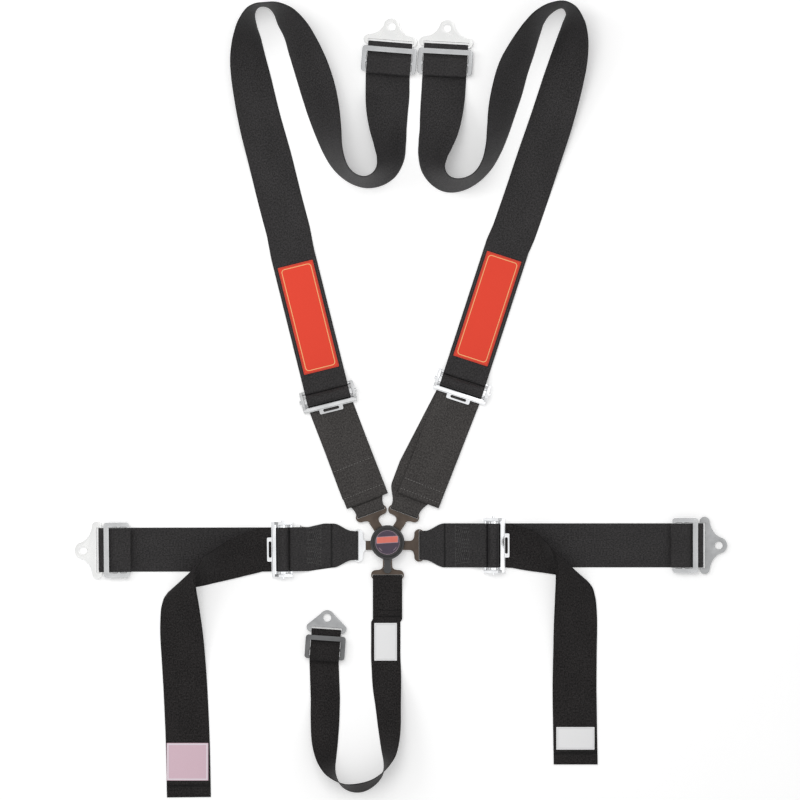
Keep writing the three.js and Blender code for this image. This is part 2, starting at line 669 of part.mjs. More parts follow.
function slideBar() {
  const inside = WIDE_WEB / 2 + EAR_GAP;
  const outside = inside + EAR_THICKNESS + SLIDE_BAR_END;
  const bar = roundBar(0, SLIDE_BAR_HEIGHT, SLIDE_BAR_RADIUS, -inside + GAP, inside - GAP, 16);
  return shaped(bar, [roundBar(0, SLIDE_BAR_HEIGHT, SLIDE_BAR_END_RADIUS, -outside, outside, 10)]);
}

const adjusters = {
  lap_right: place(LAY_SPAN * 0.183, LAP_LINE, 180),
  lap_left: place(LAY_SPAN * -0.1805, LAY_SPAN * -0.0126, 0.6),
  shoulder_left: place(LAY_SPAN * -0.1028, LAY_SPAN * 0.2524, 90 + 14),
  shoulder_right: place(LAY_SPAN * 0.1292, LAY_SPAN * 0.27, 90 - 18),
};

function adjusterHardware() {
  Object.entries(adjusters).forEach(([name, frame]) => {
    const group = groupAt(frame);
    piece(`adjuster_frame_${name}`, adjusterFrame(), chrome, group);
    piece(`adjuster_slide_bar_${name}`, slideBar(), chrome, group);
    const path = [
      [-ROLL_UNDER, HALF_WEB],
      ...arc(0, SLIDE_BAR_HEIGHT, ROLL_TURN, -90, 180, 14),
      ...arc(-ROLL_TURN - EXIT_TURN, EXIT_HEIGHT, EXIT_TURN, 0, -90, 5),
      [-ROLL_OVER, LAYER + HALF_WEB],
    ];
    piece(`web_roll_${name}`, strap(hardwareRows(frame, path, WIDE_WEB)), webbing);
  });
}

// Shoulder anchors lie side by side
const ANCHOR_SPACING = WIDE_WEB + 2 * (WINDOW_PLAY + SLIDE_SIDE) + ANCHOR_CLEARANCE;

// Anchors: a three-bar slide and a bolt-in bracket, +X out to the bolt, zero at the slide's outer edge
const anchors = {
  lap_right: { spec: wideAnchor, frame: place(LAY_SPAN * 0.5368, LAP_LINE, 0), finish: satinZinc },
  lap_left: { spec: wideAnchor, frame: place(LAY_SPAN * -0.4905, LAY_SPAN * -0.0138, 180.6), finish: satinZinc },
  shoulder_left: { spec: shoulderAnchor, frame: place(LAY_SPAN * 0.0043, LAY_SPAN * 0.8555, 85.4), finish: chrome },
  shoulder_right: {
    spec: shoulderAnchor, frame: place(LAY_SPAN * 0.0043 + ANCHOR_SPACING, LAY_SPAN * 0.8524, 86.8), finish: chrome,
  },
  crotch: { spec: narrowAnchor, frame: place(LAY_SPAN * -0.1064, LAY_SPAN * -0.1614, 86), finish: satinZinc },
};

function slideEdges(spec) {
  const outer = -spec.outerBar;
  const centreOut = outer - spec.outerWindow;
  const centreIn = centreOut - spec.centreBar;
  const inner = centreIn - spec.innerWindow;
  return { outer, centreOut, centreIn, inner, end: inner - spec.innerBar };
}

function threeBarSlide(spec) {
  const edges = slideEdges(spec);
  const half = spec.web / 2 + WINDOW_PLAY;
  const outline = new THREE.Shape();
  roundedRectangle(outline, edges.end, 0, -half - SLIDE_SIDE, half + SLIDE_SIDE, SLIDE_CORNER);
  const windows = [[edges.centreOut, edges.outer], [edges.inner, edges.centreIn]];
  windows.forEach(([from, to]) => {
    outline.holes.push(roundedRectangle(new THREE.Path(), from, to, -half, half, WINDOW_PLAY));
  });
  return plate(outline, SLIDE_BOTTOM, SLIDE_TOP, 3);
}

function boltBracket(spec) {
  const lobeAt = spec.web / 2 + spec.lobeReach - spec.lobeRadius;
  const lobeX = spec.barAt - BRACKET_BAR / 2 + spec.lobeRadius;
  const outline = new THREE.Shape();
  outline.absarc(spec.holeAt, 0, spec.tipRadius, -Math.PI / 3, Math.PI / 3, false);
  if (spec.waist) {
    outline.quadraticCurveTo(lobeX + spec.lobeRadius * 1.5, lobeAt * 0.42, lobeX + spec.lobeRadius, lobeAt);
    outline.absarc(lobeX, lobeAt, spec.lobeRadius, 0, Math.PI, false);
    outline.lineTo(lobeX - spec.lobeRadius, -lobeAt);
    outline.absarc(lobeX, -lobeAt, spec.lobeRadius, Math.PI, Math.PI * 2, false);
    outline.quadraticCurveTo(lobeX + spec.lobeRadius * 1.5, -lobeAt * 0.42,
      spec.holeAt + spec.tipRadius * Math.cos(Math.PI / 3), -spec.tipRadius * Math.sin(Math.PI / 3));
  } else {
    outline.absarc(lobeX, lobeAt, spec.lobeRadius, Math.PI / 3, Math.PI, false);
    outline.absarc(lobeX, -lobeAt, spec.lobeRadius, Math.PI, Math.PI * 5 / 3, false);
  }
  const hole = new THREE.Path();
  hole.absarc(spec.holeAt, 0, BOLT_HOLE_RADIUS, 0, Math.PI * 2, true);
  const slot = new THREE.Path();
  const slotFrom = spec.barAt + BRACKET_BAR / 2;
  const half = spec.web / 2 + WINDOW_PLAY;
  roundedRectangle(slot, slotFrom, slotFrom + BRACKET_SLOT, -half, half, WINDOW_PLAY);
  outline.holes.push(hole, slot);
  const middle = BRACKET_HEIGHT;
  return plate(outline, middle - BRACKET_THICKNESS / 2, middle + BRACKET_THICKNESS / 2, 5);
}

// The web through an anchor: under the slide, over its centre bar, round the bracket's bar and back
function anchorPath(spec, entry) {
  const edges = slideEdges(spec);
  const over = SLIDE_TOP + GAP + HALF_WEB;
  const rise = over - HALF_WEB;
  const overTop = over + LAYER;
  const climb = overTop - RETURN_LEVEL;
  const climbFrom = edges.outer - BAR_CLEARANCE * 3;
  const tuckMiddle = SLIDE_BOTTOM + SLIDE_THICKNESS / 2;
  const tuckTurn = SLIDE_THICKNESS / 2 + GAP + HALF_WEB;
  return [
    [edges.end - entry, HALF_WEB],
    [edges.centreIn - BAR_CLEARANCE - rise, HALF_WEB],
    [edges.centreIn - BAR_CLEARANCE, over],
    [edges.centreOut + BAR_CLEARANCE, over],
    [edges.centreOut + BAR_CLEARANCE + rise, HALF_WEB],
    ...arc(spec.barAt, BRACKET_HEIGHT, BRACKET_TURN, -90, 90, 8),
    [climbFrom, RETURN_LEVEL],
    [climbFrom - climb, overTop],
    [edges.centreIn - BAR_CLEARANCE, overTop],
    [edges.inner + BAR_CLEARANCE * 2, over],
    ...arc(edges.end, tuckMiddle, tuckTurn, 90, 270, 6),
    [edges.inner - BAR_CLEARANCE * 3, tuckMiddle - tuckTurn],
  ];
}

function anchorHardware() {
  Object.entries(anchors).forEach(([name, { spec, frame, finish }]) => {
    const group = groupAt(frame);
    piece(`three_bar_slide_${name}`, threeBarSlide(spec), finish, group);
    piece(`bolt_bracket_${name}`, boltBracket(spec), finish, group);
  });
}

const ANCHOR_ENTRY = 6;

function anchorRows(name) {
  const { spec, frame } = anchors[name];
  return hardwareRows(frame, anchorPath(spec, ANCHOR_ENTRY), spec.web);
}

// Loop of a belt round a tongue's slot bar, from the outside over the top and back beneath
function tongueLoop(frame, narrow, wide, far) {
  const upper = TONGUE_MIDDLE + TONGUE_TURN;
  const lower = TONGUE_MIDDLE - TONGUE_TURN;
  const taper = (x) => {
    const t = Math.min(Math.max(x - LOOP_FLAT, 0) / TAPER_LENGTH, 1);
    return narrow + (wide - narrow) * t * t * (3 - 2 * t);
  };
  const settle = (x, high, low) => {
    const t = Math.min(Math.max((x - LOOP_FLAT) / (LOOP_SETTLE - LOOP_FLAT), 0), 1);
    return high + (low - high) * t * t * (3 - 2 * t);
  };
  const stations = [far, TAPER_LENGTH + LOOP_FLAT, LOOP_SETTLE, LOOP_SETTLE * 0.75, LOOP_SETTLE * 0.5, LOOP_FLAT];
  return [
    ...stations.map((x) => [x, settle(x, upper, LAYER + HALF_WEB), taper(x)]),
    ...arc(0, TONGUE_MIDDLE, TONGUE_TURN, 90, 270, 6).map(([x, z]) => [x, z, narrow]),
    ...stations.slice(0, -1).reverse().map((x) => [x, settle(x, lower, HALF_WEB), taper(x)]),
  ];
}

// Loop of a sewn strap round an adjuster's rear bar, in the adjuster's frame
function rearLoop(far) {
  const upper = REAR_BAR_HEIGHT + REAR_TURN;
  const start = REAR_BAR_REACH;
  return [
    [start + far, LAYER + HALF_WEB],
    [start + LOOP_SETTLE, LAYER + HALF_WEB],
    [start + LOOP_SETTLE * 0.72, LAYER + HALF_WEB + (upper - LAYER - HALF_WEB) * 0.25],
    [start + LOOP_SETTLE * 0.35, LAYER + HALF_WEB + (upper - LAYER - HALF_WEB) * 0.82],
    ...arc(start, REAR_BAR_HEIGHT, REAR_TURN, 90, 270, 8),
    [start + LOOP_SETTLE, HALF_WEB],
  ];
}

// Lap belts: short sewn strap at the tongue, and the long web with its roll, anchor and tail
function shortLapStrap(name) {
  const head = heads[name];
  const adjuster = adjusters[name];
  const span = Math.hypot(adjuster.x - head.x, adjuster.y - head.y) - REAR_BAR_REACH;
  const atTongue = hardwareRows(head, tongueLoop(head, WIDE_TONGUE_WEB, WIDE_WEB, span / 2), WIDE_WEB);
  const atBar = hardwareRows(adjuster, rearLoop(span / 2 - SPLIT_GAP), WIDE_WEB);
  const upperMeeting = atTongue.shift();
  atBar.shift();
  const lowerEnd = atTongue.pop();
  const rows = [...atTongue.reverse(), upperMeeting, ...atBar];
  const closing = rows[0].c.clone().sub(rows[rows.length - 1].c);
  const end = rows[rows.length - 1].c.clone().add(closing.setLength(closing.length() - SPLIT_GAP));
  rows.push({ c: end, w: lowerEnd.w, width: WIDE_WEB });
  piece(`short_strap_${name}`, strap(rows), webbing);
}

function webExit(frame, back, height) {
  return toWorld(frame, -back, 0, height);
}

function lapBelt(name) {
  shortLapStrap(name);
  const lead = hardwareRows(adjusters[name], [[-ROLL_UNDER - SPLIT_GAP, HALF_WEB]], WIDE_WEB);
  piece(`main_web_${name}`, strap([...lead, ...anchorRows(name)]), webbing);
}

// Tail rows: place shares, heading and bank in degrees, reach share of the web width, layers beneath
const leftTailShares = [
  [0.0365, 0, -90, 0, 1, 1], [0.0665, 0.008, -88, 14, 1, 1], [0.0955, 0.018, -87, 28, 1, 1],
  [0.1265, 0.03, -98, 41, 1.04, 1], [0.1645, 0.042, -134, 38, 1.22, 1], [0.1755, 0.055, -141, 34, 1.18, 0.6],
  [0.1805, 0.075, -147, 31, 1.12, 0.3], [0.1795, 0.111, -158, 20, 1.04, 0.1], [0.1755, 0.168, -174, 7, 1, 0],
  [0.1715, 0.242, -180, 0, 1, 0], [0.1685, 0.332, -180, 0, 1, 0], [0.1675, 0.427, -180, 0, 1, 0],
];
const rightTailShares = [
  [0.0325, -0.001, 90, 0, 1, 1], [0.0555, -0.006, 93, 9, 1, 1], [0.0805, -0.012, 102, 20, 1.02, 1],
  [0.1025, -0.02, 118, 30, 1.1, 1], [0.1255, -0.029, 136, 30, 1.22, 1], [0.1365, -0.046, 144, 25, 1.2, 0.6],
  [0.1415, -0.069, 150, 22, 1.14, 0.3], [0.1425, -0.102, 160, 15, 1.06, 0.1], [0.1415, -0.166, 176, 6, 1, 0],
  [0.1405, -0.25, 180, 0, 1, 0], [0.1415, -0.32, 180, 0, 1, 0], [0.1425, -0.379, 180, 0, 1, 0],
];

function lapTail(name, table) {
  const adjuster = adjusters[name];
  const outward = { x: adjuster.x, y: adjuster.y, angle: adjuster.angle + Math.PI };
  const begin = hardwareRows(outward, [[ROLL_OVER + SPLIT_GAP, LAYER + HALF_WEB]], WIDE_WEB);
  piece(`tail_${name}`, strap([...begin, ...foldRows(outward, table, WIDE_WEB, 3)]), webbing);
}

// Shoulder belts: lower web from the roll to the tongue, loose tail over it, upper web to the anchor
function shoulderLower(name) {
  const start = webExit(adjusters[name], ROLL_UNDER + SPLIT_GAP, HALF_WEB);
  const loop = hardwareRows(heads[name], tongueLoop(heads[name], WIDE_TONGUE_WEB, WIDE_WEB, SEWN_END), WIDE_WEB);
  const first = loop[0].c;
  const blend = start.clone().lerp(first, 0.75).setZ(HALF_WEB);
  const lead = hardwareRows(adjusters[name], [[-ROLL_UNDER - SPLIT_GAP, HALF_WEB]], WIDE_WEB);
  const middle = { c: blend, w: loop[0].w.clone(), width: WIDE_WEB };
  piece(`lower_web_${name}`, strap([...lead, middle, ...loop]), webbing);
}

const tailEndPlaces = { shoulder_left: [-0.0346, 0.0709], shoulder_right: [0.0528, 0.0721] };

function shoulderTail(name) {
  const frame = adjusters[name];
  const start = webExit(frame, ROLL_OVER + SPLIT_GAP, 0);
  const [endX, endY] = tailEndPlaces[name].map((share) => share * LAY_SPAN);
  const end = new THREE.Vector3(endX, endY, 0);
  const levels = [[0, LAYER], [0.35, LAYER], [0.52, 2 * LAYER], [0.86, 2.4 * LAYER], [0.93, 3.4 * LAYER],
    [1, 4.2 * LAYER]];
  const along = end.clone().sub(start).normalize();
  const w = new THREE.Vector3(along.y, -along.x, 0);
  const rows = levels.map(([t, low]) => ({
    c: start.clone().lerp(end, t).setZ(low + HALF_WEB), w: w.clone(), width: WIDE_WEB,
  }));
  rows[0].w = hardwareRows(frame, [[0, 0]], WIDE_WEB)[0].w.multiplyScalar(-1);
  piece(`tail_${name}`, strap(rows), webbing);
}

// Upper shoulder routes: place shares and bank in degrees, from the patch round to the anchor
const leftRouteShares = [
  [-0.168, 0.522, 0], [-0.186, 0.592, 0], [-0.203, 0.661, 5], [-0.221, 0.73, 16], [-0.235, 0.799, 27],
  [-0.2405, 0.834, 37], [-0.242, 0.868, 51], [-0.241, 0.894, 66], [-0.235, 0.916, 80], [-0.224, 0.9275, 86],
  [-0.209, 0.929, 84], [-0.193, 0.922, 74], [-0.176, 0.906, 62], [-0.158, 0.882, 53], [-0.144, 0.851, 44],
  [-0.131, 0.817, 38], [-0.12, 0.782, 37], [-0.111, 0.747, 42], [-0.103, 0.713, 51], [-0.095, 0.68, 62],
  [-0.086, 0.657, 69], [-0.074, 0.639, 75], [-0.057, 0.626, 78], [-0.037, 0.621, 77], [-0.017, 0.627, 71],
  [-0.002, 0.642, 61], [0.005, 0.664, 51], [0.004, 0.69, 42], [0.001, 0.717, 31], [-0.0005, 0.747, 18],
  [0, 0.775, 4],
];
const rightRouteShares = [
  [0.213, 0.522, 0], [0.238, 0.592, 0], [0.261, 0.661, 4], [0.284, 0.73, 12], [0.304, 0.799, 24],
  [0.313, 0.834, 33], [0.319, 0.868, 46], [0.32, 0.894, 60], [0.316, 0.916, 77], [0.303, 0.9265, 85],
  [0.28, 0.92, 80], [0.261, 0.904, 72], [0.249, 0.885, 64], [0.232, 0.851, 53], [0.217, 0.817, 46],
  [0.207, 0.782, 45], [0.198, 0.747, 50], [0.191, 0.713, 58], [0.183, 0.68, 67], [0.171, 0.651, 74],
  [0.154, 0.63, 78], [0.135, 0.619, 77], [0.116, 0.6155, 74], [0.1, 0.619, 70], [0.087, 0.63, 65],
  [0.079, 0.647, 57], [0.0785, 0.668, 48], [0.083, 0.689, 38], [0.089, 0.713, 27], [0.093, 0.741, 15],
  [0.096, 0.77, 4],
];

function shoulderUpper(name, table, side) {
  const frame = adjusters[name];
  const loop = hardwareRows(frame, rearLoop(PATCH_BACKING), WIDE_WEB).reverse();
  const back = toWorld(frame, REAR_BAR_REACH + PATCH_BACKING - LOOP_SETTLE, 0, HALF_WEB);
  loop.unshift({ c: back, w: loop[0].w.clone(), width: WIDE_WEB });
  const points = table.map(([x, y, bank]) => [x * LAY_SPAN, y * LAY_SPAN, bank]);
  const joint = loop[loop.length - 1].c;
  const route = freeRows([[joint.x, joint.y, 0], ...points], WIDE_WEB, side, Math.round(table.length * 1.6));
  const anchor = anchorRows(name);
  piece(`upper_web_${name}`, strap([...loop, ...route.slice(2), ...anchor]), webbing);
  const bottom = LAYER + WEB_THICKNESS + GAP;
  const patch = box(PATCH_START, PATCH_START + PATCH_LENGTH, -PATCH_WIDTH / 2, PATCH_WIDTH / 2,
    bottom, bottom + PATCH_THICKNESS);
  piece(`patch_${name}`, patch, patchRed, groupAt(frame));
}

// Crotch belt: sewn loop at the tongue, down, round on its edge and up to its anchor
const crotchRouteShares = [
  [-0.003, -0.1385, 0], [-0.003, -0.17, 0], [-0.003, -0.2, 0], [-0.002, -0.222, 2], [-0.001, -0.25, 14], [0.001, -0.281, 29], [0.003, -0.315, 38],
  [0.0035, -0.343, 49], [0.002, -0.365, 62], [-0.003, -0.385, 82], [-0.011, -0.401, 97], [-0.025, -0.414, 106],
  [-0.044, -0.4225, 112], [-0.062, -0.4235, 109], [-0.077, -0.4185, 100], [-0.089, -0.408, 87],
  [-0.099, -0.393, 68], [-0.105, -0.373, 48], [-0.108, -0.345, 28], [-0.108, -0.308, 12], [-0.1075, -0.27, 2],
];

function crotchBelt() {
  const head = heads.crotch;
  const loop = hardwareRows(head, tongueLoop(head, NARROW_WEB, NARROW_WEB, CROTCH_SEWN_END), NARROW_WEB).reverse();
  const points = crotchRouteShares.map(([x, y, bank]) => [x * LAY_SPAN, y * LAY_SPAN, bank]);
  const route = freeRows(points, NARROW_WEB, 1, Math.round(crotchRouteShares.length * 1.6));
  piece('crotch_web', strap([...loop, ...route, ...anchorRows('crotch')]), webbing);
}

// Labels: centre shares, length along the belt and width
const labels = [
  { name: 'label_crotch', placeShares: [-0.0033, -0.1725], size: CROTCH_LABEL, material: labelWhite },
  { name: 'label_tail_left', placeShares: [-0.346, -0.38], size: LEFT_TAIL_LABEL, material: labelPink },
  { name: 'label_tail_right', placeShares: [0.325, -0.3395], size: RIGHT_TAIL_LABEL, material: labelWhite },
];

function sewnLabels() {
  labels.forEach(({ name, placeShares, size, material }) => {
    const { length, width } = size;
    const [x, y] = placeShares.map((share) => share * LAY_SPAN);
    const bottom = WEB_THICKNESS + GAP;
    const label = box(x - width / 2, x + width / 2, y - length / 2, y + length / 2,
      bottom, bottom + LABEL_THICKNESS);
    piece(name, label, material);
  });
}

buckleShell();
latchPins();
turningKnob();
tongues();
adjusterHardware();
anchorHardware();
lapBelt('lap_right');
lapBelt('lap_left');
lapTail('lap_left', leftTailShares);
lapTail('lap_right', rightTailShares);
shoulderLower('shoulder_left');
shoulderLower('shoulder_right');
shoulderTail('shoulder_left');
shoulderTail('shoulder_right');
shoulderUpper('shoulder_left', leftRouteShares, 1);
shoulderUpper('shoulder_right', rightRouteShares, -1);
crotchBelt();
sewnLabels();

export default harness;
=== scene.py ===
# A five-point racing harness laid flat on a white surface, seen from straight above.
import math

import bmesh
import bpy
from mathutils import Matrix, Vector


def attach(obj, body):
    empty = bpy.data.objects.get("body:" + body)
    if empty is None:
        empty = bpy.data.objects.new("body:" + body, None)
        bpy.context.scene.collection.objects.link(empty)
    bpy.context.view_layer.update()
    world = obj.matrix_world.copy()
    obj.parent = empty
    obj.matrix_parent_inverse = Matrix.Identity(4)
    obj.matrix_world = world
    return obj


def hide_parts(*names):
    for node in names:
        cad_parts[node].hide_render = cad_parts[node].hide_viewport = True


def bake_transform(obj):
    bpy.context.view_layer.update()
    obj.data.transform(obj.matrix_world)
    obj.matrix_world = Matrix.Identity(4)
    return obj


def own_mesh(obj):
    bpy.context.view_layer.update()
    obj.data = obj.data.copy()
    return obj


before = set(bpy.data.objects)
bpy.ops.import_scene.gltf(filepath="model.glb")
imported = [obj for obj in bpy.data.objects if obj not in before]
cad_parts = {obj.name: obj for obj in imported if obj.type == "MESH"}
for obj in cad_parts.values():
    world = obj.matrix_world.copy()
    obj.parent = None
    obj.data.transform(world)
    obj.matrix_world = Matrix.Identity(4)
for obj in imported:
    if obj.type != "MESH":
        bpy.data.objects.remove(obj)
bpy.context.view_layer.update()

# Lengths are in millimetres up to the point where a mesh is made
MM = 0.001
WIDE, NARROW = 76.2, 50.8  # the two widths of webbing
T = 1.4  # its thickness
GAP = 0.3  # air between two layers
LAYER = T + GAP
HALF = T / 2

scene = bpy.context.scene
scene.view_settings.view_transform = "Standard"


# Shader nodes and shader maths
def feed(tree, socket, value):
    """Link a shader value or an output to a socket, or set a plain value."""
    if isinstance(value, V):
        value = value.socket
    if hasattr(value, "is_output"):
        tree.links.new(value, socket)
    else:
        socket.default_value = value


def add_node(tree, kind, **inputs):
    node = tree.nodes.new(f"ShaderNode{kind}")
    for label, value in inputs.items():
        feed(tree, node.inputs[label], value)
    return node


class V:
    """A shader value: arithmetic on it adds math nodes to its tree."""

    def __init__(self, tree, socket):
        self.tree, self.socket = tree, socket

    def _op(self, kind, other, clamp=False):
        node = add_node(self.tree, "Math")
        node.operation = kind
        node.use_clamp = clamp
        for socket, value in zip(node.inputs, (self, other)):
            feed(self.tree, socket, value)
        return V(self.tree, node.outputs[0])

    def __add__(self, other):
        return self._op("ADD", other)

    __radd__ = __add__

    def __sub__(self, other):
        return self._op("SUBTRACT", other)

    def __rsub__(self, other):
        return (self * -1) + other

    def __mul__(self, other):
        return self._op("MULTIPLY", other)

    def __truediv__(self, other):
        return self._op("DIVIDE", other)

    def sin(self):
        return self._op("SINE", 0.0)

    def abs(self):
        return self._op("ABSOLUTE", 0.0)

    def max(self, other):
        return self._op("MAXIMUM", other)

    def clamp(self):
        return self._op("ADD", 0.0, clamp=True)

    def wave(self):
        """Its sine, brought between 0 and 1."""
        return self.sin() * 0.5 + 0.5

    def step(self, low, high):
        """0 below low, 1 above high, straight between."""
        return ((self - low) / (high - low)).clamp()


def parts_of(tree, vector):
    """The three components of a vector socket."""
    split = add_node(tree, "SeparateXYZ", Vector=vector)
    return [V(tree, split.outputs[i]) for i in range(3)]


class Look:
    """A principled material with helpers for its node tree."""

    def __init__(self, name, roughness=0.5, metallic=0.0):
        self.material = bpy.data.materials.new(name)
        self.material.use_nodes = True
        self.tree = self.material.node_tree
        self.shader = self.tree.nodes["Principled BSDF"]
        self.set("Roughness", roughness)
        self.set("Metallic", metallic)

    def set(self, name, value):
        feed(self.tree, self.shader.inputs[name], value)

    def coords(self, kind, scale=(1, 1, 1)):
        source = add_node(self.tree, "TexCoord").outputs[kind]
        return add_node(self.tree, "Mapping", Vector=source, Scale=scale).outputs[0]

    def axes(self, kind="Object"):
        return parts_of(self.tree, self.coords(kind))

    def noise(self, scale, detail=3.0, kind="Object", stretch=(1, 1, 1), roughness=0.5):
        node = add_node(self.tree, "TexNoise", Vector=self.coords(kind, stretch),
                        Scale=scale, Detail=detail, Roughness=roughness)
        return V(self.tree, node.outputs[0])

    def mix(self, factor, a, b):
        """Colour a where the factor is 0, colour b where it is 1."""
        node = add_node(self.tree, "Mix")
        node.data_type = "RGBA"
        feed(self.tree, node.inputs["Factor"], factor)
        node.inputs[6].default_value = (*a, 1)
        node.inputs[7].default_value = (*b, 1)
        return node.outputs[2]

    def bump(self, height, strength, distance):
        node = add_node(self.tree, "Bump", Strength=strength, Distance=distance, Height=height)
        self.set("Normal", node.outputs[0])


# Waves of the weave in radians a metre, and the band where a wide web's selvedge starts
PICKS, RIBS, TWILL_ACROSS, TWILL_ALONG = 2400, 3600, 1900, 1300
SELVEDGE = 36.4, 37.6


def webbing_look(name, dark=(0.004, 0.0036, 0.0037), light=(0.042, 0.0395, 0.0405), sheen=0.08):
    """Woven polyester: fine diagonal weave along UV metres, denser selvedges, a dull sheen."""
    look = Look(name)
    u, v, _ = look.axes("UV")
    across, along = u * TWILL_ACROSS, v * TWILL_ALONG
    twill = (across + along).wave() * 0.65 + (across - along).wave() * 0.35
    weave = twill * 0.5 + (v * PICKS).wave() * 0.25 + (u * RIBS).wave() * 0.25
    fibres = look.noise(1500, 2.0, "UV", (1, 0.35, 1))
    speckle = look.noise(430, 4.0, "UV", (1, 0.8, 1), 0.75)
    cloudy = look.noise(26, 4.0, "UV", (1, 0.5, 1))
    edge = (u.abs() / MM).step(*SELVEDGE)
    tone = weave * 0.3 + fibres * 0.25 + speckle * 3.6 + cloudy * 0.5 - 1.88 - edge * 0.2
    look.set("Base Color", look.mix(tone.clamp(), dark, light))
    look.set("Roughness", 0.52 + fibres * 0.2)
    look.set("Specular IOR Level", sheen * 3.5)
    look.set("Sheen Weight", sheen)
    look.set("Sheen Roughness", 0.45)
    look.set("Sheen Tint", (0.5, 0.5, 0.53, 1))
    look.bump(weave * 0.7 + fibres * 0.3, 0.55, 0.00035)
    return look.material


def metal_look(name, color, dull, roughness, grain=700, wear=0.12):
    """Plated or bare metal: fine grain, faint cloudiness and handling marks."""
    look = Look(name, roughness, 1.0)
    cloud = look.noise(60, 4.0)
    marks = look.noise(grain, 3.0, stretch=(1, 0.18, 1))
    look.set("Base Color", look.mix((cloud * 1.6 - 0.3).clamp(), color, dull))
    look.set("Roughness", roughness + (cloud - 0.5) * wear + (marks - 0.5) * wear * 0.4)
    look.bump(marks * 0.15 + cloud * 0.85, 0.03, 0.0002)
    return look.material


def moulded(look, cloud, roughness, specular, coat, coat_roughness):
    """The finish of a moulding: clouded roughness, a clear coat and a fine grain."""
    look.set("Roughness", roughness + (cloud - 0.5) * 0.1)
    look.set("Specular IOR Level", specular)
    look.set("Coat Weight", coat)
    look.set("Coat Roughness", coat_roughness)
    look.bump(look.noise(1400, 2.0), 0.05, 0.0001)
    return look.material


def gloss_look(name, color, second, coat=0.2):
    """Printed gloss inlay."""
    look = Look(name)
    cloud = look.noise(90)
    look.set("Base Color", look.mix((cloud * 1.5 - 0.25).clamp(), color, second))
    return moulded(look, cloud, 0.35, 0.3, coat, 0.08)


def knob_look():
    """Black moulding with a painted highlight: a greyer rim and lever, and a darker face round the
    inlay.
    """
    face, rim = 27.6, 28.6
    look = Look("knob_black")
    x, y, _ = look.axes()
    # painted highlight: past the rim radius the base colour turns grey, over the outer rim and the
    # lever
    outside = ((x * x + y * y) / MM ** 2).step(face ** 2, rim ** 2)
    cloud = look.noise(90)
    tone = (outside * 0.85 + cloud * 0.3 - 0.1).clamp()
    look.set("Base Color", look.mix(tone, (0.004, 0.004, 0.0045), (0.034, 0.034, 0.035)))
    return moulded(look, cloud, 0.22, 0.35, 0.55, 0.1)


def cloth_look(name, color, second, threads=5200, strength=0.35):
    """A flat woven patch, tape or thread, with its waves in radians a metre."""
    look = Look(name, 0.75)
    x, y, _ = look.axes()
    weave = ((x * threads).sin() * (y * threads).sin()) * 0.5 + 0.5
    fibres = look.noise(1800)
    look.set("Base Color", look.mix((weave * 0.5 + fibres * 0.6 - 0.05).clamp(), color, second))
    look.set("Specular IOR Level", 0.25)
    look.bump(weave, strength, 0.0002)
    return look.material


def thread_look(name, color, second):
    return cloth_look(name, color, second, 9000, 0.2)


def tape_look(name, color, second):
    return cloth_look(name, color, second, 6000, 0.25)


# The lit and shade webbings are lighter and darker copies of the one black webbing: painted light
# on the lower shoulder webs and shoulder tails, painted shade on the lap tails and the crotch web
webbing = webbing_look("webbing_black")
webbing_painted_lit = webbing_look("webbing_black_painted_lit", (0.012, 0.0105, 0.01), (0.075, 0.07, 0.067))
webbing_painted_shade = webbing_look(
    "webbing_black_painted_shade", (0.001, 0.0008, 0.0008), (0.033, 0.03, 0.03), 0.04)
thread = thread_look("sewing_thread", (0.05, 0.049, 0.049), (0.11, 0.108, 0.107))
pale_thread = thread_look("pale_thread", (0.16, 0.155, 0.15), (0.26, 0.25, 0.245))
seam_thread = thread_look("seam_thread", (0.004, 0.004, 0.004), (0.01, 0.01, 0.01))
chrome = metal_look("bright_chrome", (0.93, 0.94, 0.95), (0.8, 0.81, 0.83), 0.12, 900, 0.06)
satin = metal_look("satin_silver", (0.66, 0.665, 0.67), (0.52, 0.525, 0.53), 0.26)
mid_zinc = metal_look("mid_zinc", (0.57, 0.576, 0.586), (0.46, 0.465, 0.472), 0.28)
# The pale, dark and shade zincs are lighter and darker copies of one plated metal for the slides
# and brackets: the pale one is a painted glare, the dark and shade ones are painted shade
zinc_painted_glare = metal_look("zinc_painted_glare", (0.9, 0.9, 0.89), (0.8, 0.805, 0.8), 0.28)
zinc_painted_shade = metal_look("zinc_painted_shade", (0.45, 0.455, 0.46), (0.3, 0.305, 0.31), 0.36)
zinc_painted_deep_shade = metal_look("zinc_painted_deep_shade", (0.19, 0.192, 0.195), (0.12, 0.122, 0.125), 0.36)
bronze = metal_look("dark_bronze", (0.13, 0.103, 0.084), (0.07, 0.055, 0.046), 0.32)
steel = metal_look("turned_steel", (0.5, 0.51, 0.53), (0.4, 0.41, 0.42), 0.3)
cast_black = metal_look("black_cast", (0.03, 0.03, 0.032), (0.016, 0.016, 0.018), 0.4)
knob_black = knob_look()
navy = gloss_look("insert_navy", (0.068, 0.046, 0.072), (0.044, 0.032, 0.056), 0.25)
bar_red = gloss_look("insert_red", (0.76, 0.2, 0.15), (0.66, 0.15, 0.12))
mark_pale = gloss_look("insert_marks", (0.5, 0.38, 0.42), (0.38, 0.28, 0.34))
patch_red = cloth_look("patch_red", (0.76, 0.05, 0.028), (0.9, 0.09, 0.05))
patch_line = cloth_look("patch_line", (0.88, 0.48, 0.2), (0.95, 0.62, 0.3))
label_white = tape_look("label_white", (0.93, 0.93, 0.935), (0.85, 0.85, 0.855))
label_pink = tape_look("label_pink", (0.8, 0.62, 0.69), (0.64, 0.42, 0.5))
label_grey = tape_look("label_grey", (0.84, 0.84, 0.85), (0.74, 0.74, 0.75))
label_edge = tape_look("label_edge", (0.86, 0.8, 0.85), (0.76, 0.68, 0.74))


